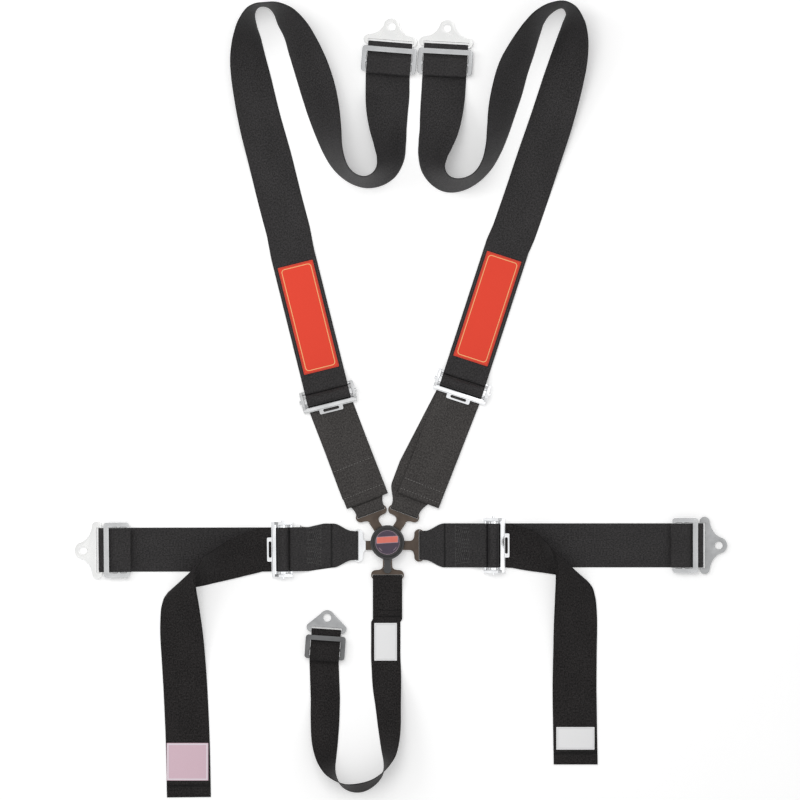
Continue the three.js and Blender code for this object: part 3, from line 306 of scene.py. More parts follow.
# Strap rows: a centre, an across direction and a width, in millimetres
class Place:
    """A spot on the table and the direction that its strap runs in."""

    def __init__(self, x, y, degrees):
        self.x, self.y, self.angle = x, y, math.radians(degrees)

    def point(self, x, y=0.0, z=0.0):
        c, s = math.cos(self.angle), math.sin(self.angle)
        return Vector((self.x + x * c - y * s, self.y + x * s + y * c, z))

    def across(self):
        return Vector((-math.sin(self.angle), math.cos(self.angle), 0))

    def turned(self):
        return Place(self.x, self.y, math.degrees(self.angle) + 180)


def hardware_rows(place, points, width):
    """Rows straight across a place, from (x, z) or (x, z, width) points."""
    return [(place.point(x, 0, z), place.across(), own[0] if own else width)
            for x, z, *own in points]


def arc(x, y, radius, start, stop, steps=10):
    angles = [math.radians(start + (stop - start) * i / steps) for i in range(steps + 1)]
    return [(x + radius * math.cos(a), y + radius * math.sin(a)) for a in angles]


def spline(values, t, centripetal=False):
    """A point of a Catmull-Rom curve through values, t from 0 to 1, even in the index."""
    n = len(values)
    p = (n - 1) * t
    i = min(int(p), n - 2)
    f = p - i
    one, two = values[i], values[i + 1]
    before = values[i - 1] if i > 0 else one * 2 - two
    after = values[i + 2] if i + 2 < n else two * 2 - one
    if centripetal:
        pairs = (before, one), (one, two), (two, after)
        d0, d1, d2 = [max((a - b).length_squared ** 0.25, 1e-4) for a, b in pairs]
        m0 = ((one - before) / d0 - (two - before) / (d0 + d1) + (two - one) / d1) * d1
        m1 = ((two - one) / d1 - (after - one) / (d1 + d2) + (after - two) / d2) * d1
    else:
        m0, m1 = (two - before) / 2, (after - one) / 2
    f2, f3 = f * f, f * f * f
    near, far = one * (2 * f3 - 3 * f2 + 1), two * (3 * f2 - 2 * f3)
    return near + m0 * (f3 - 2 * f2 + f) + far + m1 * (f3 - f2)


def free_rows(points, width, side, steps):
    """Rows of a strap that stands on one edge, from (x, y, degrees of bank) points."""
    plan = [Vector((p[0], p[1], 0)) for p in points]
    banks = [Vector((p[2], 0, 0)) for p in points]
    rows = []
    for i in range(steps + 1):
        t = i / steps
        c = spline(plan, t, True)
        back, on = max(t - 0.0005, 0), min(t + 0.0005, 1)
        tangent = (spline(plan, on, True) - spline(plan, back, True)).normalized()
        bank = math.radians(max(spline(banks, t).x, 0))
        right = Vector((tangent.y, -tangent.x, 0)).normalized()
        w = right * math.cos(bank) + Vector((0, 0, -side * math.sin(bank)))
        c.z = abs(width * math.sin(bank)) / 2 + HALF * abs(math.cos(bank))
        rows.append((c, w, width))
    return rows


def fold_rows(place, table, width, steps_each):
    """Rows of a folded tail, from (x, y, heading, bank, reach, layer) entries."""
    route = [place.point(r[0], r[1]) for r in table]
    turns = [Vector((r[2], r[3], r[4])) for r in table]
    steps = (len(table) - 1) * steps_each
    rows = []
    for i in range(steps + 1):
        t = i / steps
        c = spline(route, t, True)
        heading, bank, reach = spline(turns, t)
        own = width * reach
        h, b = math.radians(heading) + place.angle, math.radians(bank)
        w = Vector((math.cos(h) * math.cos(b), math.sin(h) * math.cos(b), math.sin(b)))
        leg = min(i // steps_each, len(table) - 2)
        f = i / steps_each - leg
        low = (table[leg][5] + (table[leg + 1][5] - table[leg][5]) * f) * LAYER
        c.z = low + own * abs(math.sin(b)) / 2 + HALF
        rows.append((c, w, own))
    return rows


# The lay plan, the same places as the solids
LAP_LINE = -5.7
ROLL_UNDER, ROLL_OVER, SPLIT = 8.0, 16.5, 0.5
BAR_R, REAR_R, REAR_X = 8.0, 3.0, 14.0
ROLL_TURN = BAR_R + GAP + HALF
BAR_Z = LAYER + BAR_R
EXIT_TURN = 4.8
EXIT_Z = LAYER + HALF + EXIT_TURN
LIP_Z = 2 * LAYER
REAR_TURN = REAR_R + GAP + HALF
REAR_Z = REAR_TURN + HALF
TONGUE_Z0, TONGUE_Z1 = 3.3, 6.3
TONGUE_MID, TONGUE_TURN = 4.8, 2.5
TONGUE_WEB = 50
BRACKET_TURN = 2.5 + GAP + HALF
BRACKET_Z = BRACKET_TURN + HALF
RETURN_Z = BRACKET_Z + BRACKET_TURN
PLATE = 3
SLIDE_Z0 = RETURN_Z + HALF + GAP
SLIDE_Z1 = SLIDE_Z0 + PLATE
FLAT, SETTLE, TAPER = 6.0, 30.0, 34.0
PIN_LIFT = 3.3

adjusters = {
    "lap_right": Place(183, LAP_LINE, 180),
    "lap_left": Place(-180.5, -12.6, 0.6),
    "shoulder_left": Place(-102.8, 252.4, 104),
    "shoulder_right": Place(129.2, 270, 72),
}
LAPS, SHOULDERS = ("lap_left", "lap_right"), ("shoulder_left", "shoulder_right")


def shoulder_head(side):
    a = math.radians(90 + side * 29.1)
    return Place(60 * math.cos(a), 60 * math.sin(a), 90 + side * 20.5)


heads = {
    "lap_right": Place(58, LAP_LINE, 0),
    "lap_left": Place(-54, LAP_LINE - GAP, 180),
    "crotch": Place(0, -60, 270),
    "shoulder_left": shoulder_head(1),
    "shoulder_right": shoulder_head(-1),
}
# Slide: its three bars and the inner and outer opening (iw, ow); bracket: bar, bolt hole and lobes
wide_spec = dict(
    web=WIDE, inner=5, iw=11, centre=5, ow=14, outer=9.5,
    bar=5, hole=35.8, tip=14.4, lobe=99.2, r=8.5, waist=True)
shoulder_spec = dict(wide_spec, lobe=93)
narrow_spec = dict(
    web=NARROW, inner=5, iw=10, centre=4, ow=13, outer=9,
    bar=7, hole=30.8, tip=13, lobe=69, r=8, waist=False)
# Each anchor: its sizes, its place, and the looks of its slide and its bracket, whose tones differ
# from anchor to anchor as painted glare and painted shade
anchors = {
    "lap_right": (wide_spec, Place(536.8, LAP_LINE, 0), mid_zinc, zinc_painted_shade),
    "lap_left": (wide_spec, Place(-490.5, -13.8, 180.6), satin, zinc_painted_glare),
    "shoulder_left": (shoulder_spec, Place(4.3, 855.5, 85.4), mid_zinc, zinc_painted_glare),
    "shoulder_right": (shoulder_spec, Place(100.9, 852.4, 86.8), mid_zinc, zinc_painted_glare),
    "crotch": (narrow_spec, Place(-106.4, -161.4, 86), zinc_painted_deep_shade, zinc_painted_shade),
}


def slide_edges(spec):
    outer = -spec["outer"]
    centre_out = outer - spec["ow"]
    centre_in = centre_out - spec["centre"]
    inner = centre_in - spec["iw"]
    return outer, centre_out, centre_in, inner, inner - spec["inner"]


def anchor_rows(name):
    """Under the middle bar, round the bracket, back over the middle bar and round the inner one."""
    spec, place, *_ = anchors[name]
    outer, centre_out, centre_in, inner, end = slide_edges(spec)
    clear = 0.5
    start, stop = centre_in - clear, centre_out + clear
    over = SLIDE_Z1 + GAP + HALF
    rise = over - HALF
    over_top = over + LAYER
    climb = over_top - RETURN_Z
    half_plate = PLATE / 2
    climb_from = outer - half_plate
    middle, turn = (SLIDE_Z0 + SLIDE_Z1) / 2, half_plate + GAP + HALF
    points = [
        (end - 6, HALF),
        (start - rise, HALF),
        (start, over),
        (stop, over),
        (stop + rise, HALF),
        *arc(spec["bar"], BRACKET_Z, BRACKET_TURN, -90, 90, 16),
        (climb_from, RETURN_Z),
        (climb_from - climb, over_top),
        (start, over_top),
        (inner + 1, over),
        *arc(end, middle, turn, 90, 270, 10),
        (inner - half_plate, middle - turn),
    ]
    return hardware_rows(place, points, spec["web"])


def smooth(a, b, t):
    """From a to b, level at both ends."""
    t = min(max(t, 0), 1)
    return a + (b - a) * t * t * (3 - 2 * t)


def tongue_loop(place, narrow, wide, far):
    """Through a tongue's slot: narrow and high there, wide and flat at both ends."""
    upper, lower = TONGUE_MID + TONGUE_TURN, TONGUE_MID - TONGUE_TURN

    def leg(x, high, low):
        height = smooth(high, low, (x - FLAT) / (SETTLE - FLAT))
        return x, height, smooth(narrow, wide, (x - FLAT) / TAPER)

    stations = [
        far, TAPER + FLAT, 37, 33.5, SETTLE, 26, SETTLE * 0.75, 19, SETTLE * 0.5, 10.5, FLAT]
    points = [leg(x, upper, LAYER + HALF) for x in stations]
    points += [(x, z, narrow) for x, z in arc(0, TONGUE_MID, TONGUE_TURN, 90, 270, 12)]
    points += [leg(x, lower, HALF) for x in reversed(stations[:-1])]
    return hardware_rows(place, points, wide)


def rear_loop(place, far):
    """Round an adjuster's rear bar."""
    upper = REAR_Z + REAR_TURN
    low = LAYER + HALF
    points = [
        (REAR_X + far, low),
        (REAR_X + SETTLE, low),
        (REAR_X + SETTLE * 0.72, low + (upper - low) * 0.25),
        (REAR_X + SETTLE * 0.35, low + (upper - low) * 0.82),
        *arc(REAR_X, REAR_Z, REAR_TURN, 90, 270, 16),
        (REAR_X + SETTLE, HALF),
    ]
    return hardware_rows(place, points, WIDE)


# Strap meshes: a rounded ribbon section carried along the rows, with metres in its UV map
SECTION = [
    (-1.0, 0.0), (-0.992, 0.72), (-0.97, 1.0), (-0.8, 1.0), (-0.5, 1.0),
    (0.0, 1.0), (0.5, 1.0), (0.8, 1.0), (0.97, 1.0), (0.992, 0.72)]
SECTION += [(1.0, 0.0)] + [(u, -h) for u, h in reversed(SECTION[1:])]
LONGEST_STEP = 9.0


def refine(rows):
    out = [rows[0]]
    for (c0, w0, x0), (c1, w1, x1) in zip(rows, rows[1:]):
        n = max(1, math.ceil((c1 - c0).length / LONGEST_STEP))
        for k in range(1, n + 1):
            f = k / n
            out.append((c0.lerp(c1, f), w0.lerp(w1, f).normalized(), x0 + (x1 - x0) * f))
    return out


def link_new(name, data):
    obj = bpy.data.objects.new(name, data)
    scene.collection.objects.link(obj)
    return obj


def mesh_from(bm, name):
    mesh = bpy.data.meshes.new(name)
    bm.to_mesh(mesh)
    bm.free()
    return mesh


def ribbon(name, rows, material):
    """The strap as one closed mesh; returns the object and its length in metres."""
    across = rows[0][1]
    fixed = []
    for c, w, x in rows:
        if w.dot(across) < 0:
            w = -w
        across = w
        fixed.append((c, w, x))
    rows = refine(fixed)
    bm = bmesh.new()
    uv = bm.loops.layers.uv.new("UVMap")
    rings, places, run = [], [], 0.0
    for i, (c, w, x) in enumerate(rows):
        before, after = rows[max(i - 1, 0)][0], rows[min(i + 1, len(rows) - 1)][0]
        n = (after - before).normalized().cross(w).normalized()
        if i:
            run += (c - rows[i - 1][0]).length
        rings.append([bm.verts.new((c + w * (u * x / 2) + n * (h * HALF)) * MM)
                      for u, h in SECTION])
        places.append(run)
    count = len(SECTION)
    for i in range(len(rings) - 1):
        for k in range(count):
            j = (k + 1) % count
            spots = ((i, k), (i, j), (i + 1, j), (i + 1, k))
            face = bm.faces.new([rings[a][b] for a, b in spots])
            face.smooth = True
            for loop, (a, b) in zip(face.loops, spots):
                loop[uv].uv = (SECTION[b][0] * rows[a][2] / 2 * MM, places[a] * MM)
    width = rows[0][2]
    for ring, run_at in ((rings[0], places[0]), (rings[-1], places[-1])):
        face = bm.faces.new(ring)
        for loop, (u, h) in zip(face.loops, SECTION):
            loop[uv].uv = (u * width / 2 * MM, (run_at + h) * MM)
    bmesh.ops.recalc_face_normals(bm, faces=bm.faces)
    mesh = mesh_from(bm, name)
    mesh.materials.append(material)
    return link_new(name, mesh), places[-1] * MM


BEND_FROM, BEND_TO = 48, 17  # points at these distances from a lifted belt's adjuster are worked out but not used


def belt(name, rows, node, look=webbing, lifted=None, body="harness"):
    """A strap on its body; one that runs to a tilting adjuster gets no body, only its transform
    baked.
    """
    obj, length = ribbon(name, rows, look)
    if lifted:
        low, high = [adjusters[lifted].point(-x, 0, HALF) * MM for x in (BEND_FROM, BEND_TO)]
        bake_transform(obj)
    else:
        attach(obj, body)
    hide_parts(node)
    tapered = name.startswith(("short", "lower"))
    flat_width = max(row[2] for row in rows) if tapered else rows[0][2]
    flat_width * MM
    return obj


# Routes from the photograph: the folded lap tails as (x, y, heading, bank, reach,
# layer) from their adjusters, the standing webs as (x, y, bank)
LEFT_TAIL = [
    [36.5, 0, -90, 0, 1, 1], [66.5, 8, -88, 14, 1, 1], [95.5, 18, -87, 28, 1, 1],
    [126.5, 30, -98, 41, 1.04, 1], [164.5, 42, -134, 38, 1.22, 1], [175.5, 55, -141, 34, 1.18, 0.6],
    [180.5, 75, -147, 31, 1.12, 0.3], [179.5, 111, -158, 20, 1.04, 0.1],
    [175.5, 168, -174, 7, 1, 0], [171.5, 242, -180, 0, 1, 0], [168.5, 332, -180, 0, 1, 0],
    [167.5, 427, -180, 0, 1, 0],
]
RIGHT_TAIL = [
    [32.5, -1, 90, 0, 1, 1], [55.5, -6, 93, 9, 1, 1], [80.5, -12, 102, 20, 1.02, 1],
    [102.5, -20, 118, 30, 1.1, 1], [125.5, -29, 136, 30, 1.22, 1], [136.5, -46, 144, 25, 1.2, 0.6],
    [141.5, -69, 150, 22, 1.14, 0.3], [142.5, -102, 160, 15, 1.06, 0.1],
    [141.5, -166, 176, 6, 1, 0], [140.5, -250, 180, 0, 1, 0], [141.5, -320, 180, 0, 1, 0],
    [142.5, -379, 180, 0, 1, 0],
]
LEFT_ROUTE = [
    [-168, 522, 0], [-186, 592, 0], [-203, 661, 5], [-221, 730, 16], [-235, 799, 27],
    [-240.5, 834, 37], [-242, 868, 51], [-241, 894, 66], [-235, 915, 80], [-224, 925, 88.5],
    [-209, 926.5, 88.5], [-193, 921, 78], [-176, 906, 62], [-158, 882, 53], [-144, 851, 44],
    [-131, 817, 38], [-120, 782, 37], [-111, 747, 42], [-103, 713, 51], [-95, 680, 62],
    [-86, 657, 69], [-74, 639, 75], [-57, 626, 78], [-37, 621, 77], [-17, 627, 71], [-2, 642, 61],
    [5, 664, 51], [4, 690, 42], [1, 717, 31], [-0.5, 747, 18], [0, 775, 4],
]
RIGHT_ROUTE = [
    [213, 522, 0], [238, 592, 0], [261, 661, 4], [284, 730, 12], [304, 799, 24], [313, 834, 33],
    [319, 868, 46], [320, 894, 60], [316, 916, 77], [303, 926.5, 85], [280, 920, 80],
    [261, 904, 72], [249, 885, 64], [232, 851, 53], [217, 817, 46], [207, 782, 45], [198, 747, 50],
    [191, 713, 58], [183, 680, 67], [171, 651, 74], [154, 630, 78], [135, 619, 77],
    [116, 615.5, 74], [100, 619, 70], [87, 630, 65], [79, 647, 57], [78.5, 668, 48], [83, 689, 38],
    [89, 713, 27], [93, 741, 15], [96, 770, 4],
]
CROTCH_ROUTE = [
    [-3, -138.5, 0], [-3, -170, 0], [-3, -200, 0], [-2, -222, 2], [-1, -250, 14], [1, -281, 29],
    [3, -315, 38], [3.5, -343, 49], [2, -365, 62], [-3, -385, 82], [-11, -401, 97],
    [-25, -414, 106], [-44, -422.5, 112], [-62, -423.5, 109], [-77, -418.5, 100], [-89, -408, 87],
    [-99, -393, 68], [-105, -373, 48], [-108, -345, 28], [-108, -308, 12], [-107.5, -270, 2],
]
LAP_TABLES = {"lap_left": LEFT_TAIL, "lap_right": RIGHT_TAIL}


def side_of(along):
    """The across direction of a strap that runs flat along a direction."""
    return Vector((along.y, -along.x, 0))


# A shoulder tail's end, and the layers that it lies on, by its share of the way there
SHOULDER_ENDS = {"shoulder_left": (-34.6, 70.9), "shoulder_right": (52.8, 72.1)}
TAIL_LEVELS = [(0, 1), (0.35, 1), (0.52, 2), (0.86, 2.4), (0.93, 3.4), (1, 4.2)]
FOLD_STEPS, ROUTE_STEPS, ROUTE_ROWS = 12, 1.6, 5
REAR_REACH = 240  # length of the doubled web behind a shoulder adjuster


def tail_line(name):
    """A shoulder tail's two ends and its direction."""
    start = adjusters[name].point(-ROLL_OVER - SPLIT)
    end = Vector((*SHOULDER_ENDS[name], 0))
    return start, end, (end - start).normalized()


def adjuster_lead(name):
    """The row where the main web starts, below an adjuster's roll."""
    return hardware_rows(adjusters[name], [(-ROLL_UNDER - SPLIT, HALF)], WIDE)


def lap_belt(name, table):
    head, adjuster = heads[name], adjusters[name]
    span = math.hypot(adjuster.x - head.x, adjuster.y - head.y) - REAR_X
    at_tongue = tongue_loop(head, TONGUE_WEB, WIDE, span / 2)
    at_bar = rear_loop(adjuster, span / 2 - SPLIT)[1:]
    meeting = at_tongue.pop(0)
    lower_end = at_tongue.pop()
    rows = [*reversed(at_tongue), meeting, *at_bar]
    closing = rows[0][0] - rows[-1][0]
    end = rows[-1][0] + closing.normalized() * (closing.length - SPLIT)
    rows.append((end, lower_end[1], WIDE))
    short = belt(f"short_belt_{name}", rows, f"short_strap_{name}")
    belt(f"main_belt_{name}", [*adjuster_lead(name), *anchor_rows(name)],
         f"main_web_{name}", lifted=name)
    out = adjuster.turned()
    begin = hardware_rows(out, [(ROLL_OVER + SPLIT, LAYER + HALF)], WIDE)
    rows = [*begin, *fold_rows(out, table, WIDE, FOLD_STEPS)]
    tail = belt(f"tail_belt_{name}", rows, f"tail_{name}", webbing_painted_shade, name)
    return short, tail


def rolled_belt(name):
    """The turn of web round an adjuster's gripping bar."""
    path = [
        (-ROLL_UNDER, HALF),
        *arc(0, BAR_Z, ROLL_TURN, -90, 180, 28),
        *arc(-ROLL_TURN - EXIT_TURN, EXIT_Z, EXIT_TURN, 0, -90, 10),
        (-ROLL_OVER, LAYER + HALF),
    ]
    rows = hardware_rows(adjusters[name], path, WIDE)
    belt(f"rolled_belt_{name}", rows, f"web_roll_{name}", body=f"adjuster_{name}")


def shoulder_belt(name, table, side):
    adjuster = adjusters[name]
    loop = tongue_loop(heads[name], TONGUE_WEB, WIDE, 80)
    lead = adjuster_lead(name)
    middle = lead[0][0].lerp(loop[0][0], 0.75)
    middle.z = HALF
    rows = [*lead, (middle, loop[0][1], WIDE), *loop]
    belt(f"lower_belt_{name}", rows, f"lower_web_{name}", look=webbing_painted_lit, lifted=name)

    start, end, along = tail_line(name)
    rows = []
    for t, low in TAIL_LEVELS:
        c = start.lerp(end, t)
        c.z = low * LAYER + HALF
        rows.append((c, side_of(along) if rows else -adjuster.across(), WIDE))
    tail = belt(f"tail_belt_{name}", rows, f"tail_{name}", look=webbing_painted_lit, lifted=name)

    loop = list(reversed(rear_loop(adjuster, REAR_REACH)))
    back = adjuster.point(REAR_X + REAR_REACH - SETTLE, 0, HALF)
    loop.insert(0, (back, loop[0][1], WIDE))
    joint = loop[-1][0]
    points = [(joint.x, joint.y, 0), *table]
    route = free_rows(points, WIDE, side, round(len(table) * ROUTE_STEPS) * ROUTE_ROWS)
    rows = [*loop, *route[2 * ROUTE_ROWS:], *anchor_rows(name)]
    return belt(f"upper_belt_{name}", rows, f"upper_web_{name}"), tail


def crotch_belt():
    loop = list(reversed(tongue_loop(heads["crotch"], NARROW, NARROW, 73)))
    steps = round(len(CROTCH_ROUTE) * ROUTE_STEPS) * ROUTE_ROWS
    route = free_rows(CROTCH_ROUTE, NARROW, 1, steps)
    rows = [*loop, *route, *anchor_rows("crotch")]
    return belt("crotch_belt", rows, "crotch_web", look=webbing_painted_shade)


def make_straps():
    """All belts; returns those that carry stitching."""
    made = {}
    for name in LAPS:
        made[f"short_{name}"], made[f"tail_{name}"] = lap_belt(name, LAP_TABLES[name])
    for name in adjusters:
        rolled_belt(name)
    for name, table, side in zip(SHOULDERS, (LEFT_ROUTE, RIGHT_ROUTE), (1, -1)):
        made[f"upper_{name}"], made[f"tail_{name}"] = shoulder_belt(name, table, side)
    made["crotch"] = crotch_belt()
    return made


# Bevelled plates: a filled curve outline with holes, turned into a mesh
def rounded(x0, x1, y0, y1, r, steps=6):
    return [
        *arc(x1 - r, y0 + r, r, -90, 0, steps), *arc(x1 - r, y1 - r, r, 0, 90, steps),
        *arc(x0 + r, y1 - r, r, 90, 180, steps), *arc(x0 + r, y0 + r, r, 180, 270, steps),
    ]


def curve_between(a, control, b, steps=12):
    """The points between a and b on a quadratic curve."""
    return [
        tuple(p * (1 - t) ** 2 + 2 * q * t * (1 - t) + r * t * t for p, q, r in zip(a, control, b))
        for t in (i / steps for i in range(1, steps))]


def finished_mesh(obj):
    """The mesh of an object with its modifiers applied; the object goes."""
    bpy.context.view_layer.update()
    depsgraph = bpy.context.evaluated_depsgraph_get()
    mesh = bpy.data.meshes.new_from_object(obj.evaluated_get(depsgraph))
    bpy.data.objects.remove(obj)
    return mesh


def plate(outlines, z0, z1, bevel):
    """A flat plate with rounded edges, in its own place; the first outline is the outer one."""
    curve = bpy.data.curves.new("plate", "CURVE")
    curve.dimensions = "2D"
    curve.fill_mode = "BOTH"
    curve.extrude = ((z1 - z0) / 2 - bevel) * MM
    curve.bevel_depth = bevel * MM
    curve.bevel_resolution = 2
    curve.offset = -bevel * MM
    for i, points in enumerate(outlines):
        points = list(reversed(points)) if i else points
        line = curve.splines.new("POLY")
        line.points.add(len(points) - 1)
        for point, (x, y) in zip(line.points, points):
            point.co = (x * MM, y * MM, 0, 1)
        line.use_cyclic_u = True
    mesh = finished_mesh(link_new("plate", curve))
    for v in mesh.vertices:
        v.co.z += (z0 + z1) / 2 * MM
    bm = bmesh.new()
    bm.from_mesh(mesh)
    bmesh.ops.remove_doubles(bm, verts=bm.verts, dist=1e-6)
    bm.to_mesh(mesh)
    bm.free()
    return mesh


def bar(profile, y0, y1, bevel):
    """A profile in X and Z carried along Y."""
    mesh = plate([profile], -(y1 - y0) / 2, (y1 - y0) / 2, bevel)
    for v in mesh.vertices:
        x, z, y = v.co
        v.co = (x, y + (y0 + y1) / 2 * MM, z)
    mesh.flip_normals()
    return mesh


def piece(name, meshes, look, node=None, place=None, body="harness", smooth_below=35):
    """Meshes joined at a place, with a look, a body and the node that they replace."""
    bm = bmesh.new()
    for mesh in meshes:
        bm.from_mesh(mesh)
    if place:
        c, s = math.cos(place.angle), math.sin(place.angle)
        for v in bm.verts:
            x, y = v.co.x, v.co.y
            v.co.x, v.co.y = place.x * MM + x * c - y * s, place.y * MM + x * s + y * c
    for face in bm.faces:
        face.smooth = True
    sharp = math.radians(smooth_below)
    for edge in bm.edges:
        if len(edge.link_faces) == 2 and edge.calc_face_angle(0) > sharp:
            edge.smooth = False
    obj = link_new(name, mesh_from(bm, name))
    obj.data.materials.append(look)
    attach(obj, body)
    if node:
        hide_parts(node)
    return obj


# Slides and brackets
WEB_PLAY, SIDE_BAR, SLOT_CORNER = 1.2, 8, 1.2
BOLT_RADIUS = 7


def bracket_outline(spec):
    """Round the bolt hole, and out to a lobe at each end of the bar."""
    r = spec["r"]
    lobe_x, lobe_y = spec["bar"] - 2 + r, spec["lobe"] / 2 - r
    outline = arc(spec["hole"], 0, spec["tip"], -60, 60, 16)
    if not spec["waist"]:
        return outline + arc(lobe_x, lobe_y, r, 60, 180) + arc(lobe_x, -lobe_y, r, 180, 300)
    tip_x, tip_y = outline[-1]
    waist_x, waist_y = lobe_x + r * 1.5, lobe_y * 0.42
    outline += curve_between((tip_x, tip_y), (waist_x, waist_y), (lobe_x + r, lobe_y), 18)
    outline += arc(lobe_x, lobe_y, r, 0, 180, 14) + arc(lobe_x, -lobe_y, r, 180, 360, 14)
    return outline + curve_between(
        (lobe_x + r, -lobe_y), (waist_x, -waist_y), (tip_x, -tip_y), 18)


def make_anchors():
    for name, (spec, place, slide_look, bracket_look) in anchors.items():
        outer, centre_out, centre_in, inner, end = slide_edges(spec)
        half = spec["web"] / 2 + WEB_PLAY
        outlines = [rounded(end, 0, -half - SIDE_BAR, half + SIDE_BAR, 5, 8)]
        for low, high in ((centre_out, outer), (inner, centre_in)):
            outlines.append(rounded(low, high, -half, half, SLOT_CORNER))
        shape = plate(outlines, SLIDE_Z0, SLIDE_Z1, 1.1)
        piece(f"belt_slide_{name}", [shape], slide_look, f"three_bar_slide_{name}", place)
        bar_edge = spec["bar"] + 2
        outlines = [
            bracket_outline(spec),
            rounded(bar_edge, bar_edge + 5.5, -half, half, SLOT_CORNER),
            arc(spec["hole"], 0, BOLT_RADIUS, 0, 352.5, 47),
        ]
        shape = plate(outlines, BRACKET_Z - PLATE / 2, BRACKET_Z + PLATE / 2, 1.0)
        piece(f"anchor_bracket_{name}", [shape], bracket_look, f"bolt_bracket_{name}",
              place, f"bracket_{name}")


# An adjuster's ear, as shares of its length and height
EAR = [
    (-0.5, 0.27), (-0.5, 0.52), (-0.22, 0.98), (0.08, 1), (0.44, 0.66),
    (0.5, 0.4), (0.46, 0.12), (0.36, 0.05), (-0.12, 0.14)]


def make_adjusters():
    inside = WIDE / 2 + 4.5
    outside = inside + 5
    nose = EXIT_TURN - HALF - GAP
    nose_x = -(ROLL_TURN + EXIT_TURN)
    lip_depth, tab_depth, thick, fillet, slot_width = 10, 18, 3.2, 1.6, 4.6
    rear = nose_x + nose - lip_depth + fillet
    corner = arc(rear - fillet, LIP_Z + thick + fillet, fillet, 0, -90, 5)
    lip = [
        *arc(nose_x, LIP_Z + nose, nose, -90, 90, 12),
        (rear, LIP_Z + thick + fillet), *corner[1:], (rear - fillet, LIP_Z)]
    ear = [(x * 35, z * 16) for x, z in EAR]
    front = nose_x + nose - tab_depth
    slot_at = front + slot_width * 0.7
    tab = rounded(front, nose_x, -21, 21, 2.5)
    slot = rounded(slot_at, slot_at + slot_width, -14, 14, 2.2)
    tilting = [
        bar(lip, -outside + GAP, outside - GAP, 0.35),
        bar(ear, inside, outside, 0.5),
        bar(ear, -outside, -inside, 0.5),
        bar(arc(REAR_X, REAR_Z, REAR_R, 0, 345, 23), -inside - GAP, inside + GAP, 0.3),
        plate([tab, slot], LIP_Z, LIP_Z + thick, 0.6),
    ]
    gripping = [
        bar(arc(0, BAR_Z, BAR_R, 0, 350, 35), -inside + GAP, inside - GAP, 0.5),
        bar(arc(0, BAR_Z, 3, 0, 345, 23), -outside - 3, outside + 3, 0.5),
    ]
    for name, place in adjusters.items():
        look = satin if name == "shoulder_left" else chrome
        for label, meshes, node in (
                ("tilt_adjuster", tilting, "frame"), ("gripping_bar", gripping, "slide_bar")):
            piece(f"{label}_{name}", meshes, look, f"adjuster_{node}_{name}",
                  place, f"adjuster_{name}", 32)


def make_tongues():
    """Each tongue: a slotted head for the web and a blade that goes into the buckle."""
    angles = {
        "lap_right": 0, "lap_left": 180, "crotch": 270, "shoulder_left": 124, "shoulder_right": 56}
    reaches = {"lap_right": 58, "lap_left": 54}
    back, front, neck, turn, slot_length = -11.7, 5.0, 8.0, 8.0, 3.7
    for name, head in heads.items():
        web = NARROW if name == "crotch" else TONGUE_WEB
        half, slot_half = web / 2 + 3, web / 2 + 0.6
        flare = 5.0 if name == "lap_left" else turn
        throat = back - flare
        shape = [
            *arc(front - turn, -half + turn, turn, 270, 360, 8),
            *arc(front - turn, half - turn, turn, 0, 90, 8),
            *arc(back + turn, half - turn, turn, 90, 180, 8),
            *curve_between((back, half - turn), (back, neck), (throat, neck)),
            (throat, neck), (throat, -neck),
            *curve_between((throat, -neck), (back, -neck), (back, -half + turn)),
            *arc(back + turn, -half + turn, turn, 180, 270, 8),
        ]
        slot = rounded(-slot_length, 0, -slot_half, slot_half, 0.6, 3)
        flat = plate([shape, slot], TONGUE_Z0, TONGUE_Z1, 0.6)
        look, label = (chrome, "chrome") if name == "lap_left" else (bronze, "bronze")
        piece(f"tongue_head_{name}", [flat], look, f"tongue_{name}", head)
        length = max(reaches.get(name, 60) + throat + 4.5, 29.8)
        outline = [(17, -4), (21, -neck), (length, -neck), (length, neck), (21, neck), (17, 4)]
        blade = plate([outline], TONGUE_Z0 + 0.02, TONGUE_Z1 - 0.02, 0.4)
        place = Place(0, LAP_LINE if name in LAPS else 0, angles[name])
        piece(f"tongue_neck_{name}", [blade], bronze, place=place)


def lathe(name, profile, sides=96):
    """A closed solid about Z from (radius, height) points, the first and last on the axis."""
    bm = bmesh.new()
    turns = [2 * math.pi * k / sides for k in range(sides)]
    rings = []
    for r, z in profile:
        around = turns if r > 0 else [0]
        rings.append([
            bm.verts.new((r * MM * math.cos(a), r * MM * math.sin(a), z * MM)) for a in around])
    for a, b in zip(rings, rings[1:]):
        for k in range(sides):
            j = (k + 1) % sides
            corners = dict.fromkeys([a[k % len(a)], a[j % len(a)], b[j % len(b)], b[k % len(b)]])
            if len(corners) > 2:
                bm.faces.new(list(corners))
    bmesh.ops.recalc_face_normals(bm, faces=bm.faces)
    return mesh_from(bm, name)


CAST = ("buckle_base_plate", "buckle_housing", "cam_ramp_ring")
TURNED = ("centre_post", "knob_return_spring", "latch_")
CAP_PROFILE = [
    (0, 21.6), (26, 21.6), (26, 9.8), (26.3, 9.6), (29, 9.6), (29.5, 10.1), (29.5, 21.8),
    (29.3, 22.8), (28.8, 23.7), (28.0, 24.3), (27.0, 24.5), (26.2, 24.5), (25.4, 24.2),
    (24.8, 23.6), (24.6, 23.3), (0, 23.3)]
INSERT_PROFILE = [
    (0, 23.6), (20.8, 23.6), (21.2, 23.9), (21.2, 24.5), (20.8, 24.75), (19.8, 24.8), (0, 24.8)]
PRINT_Z = 24.7
STRIPE_SLOPE = 0.062


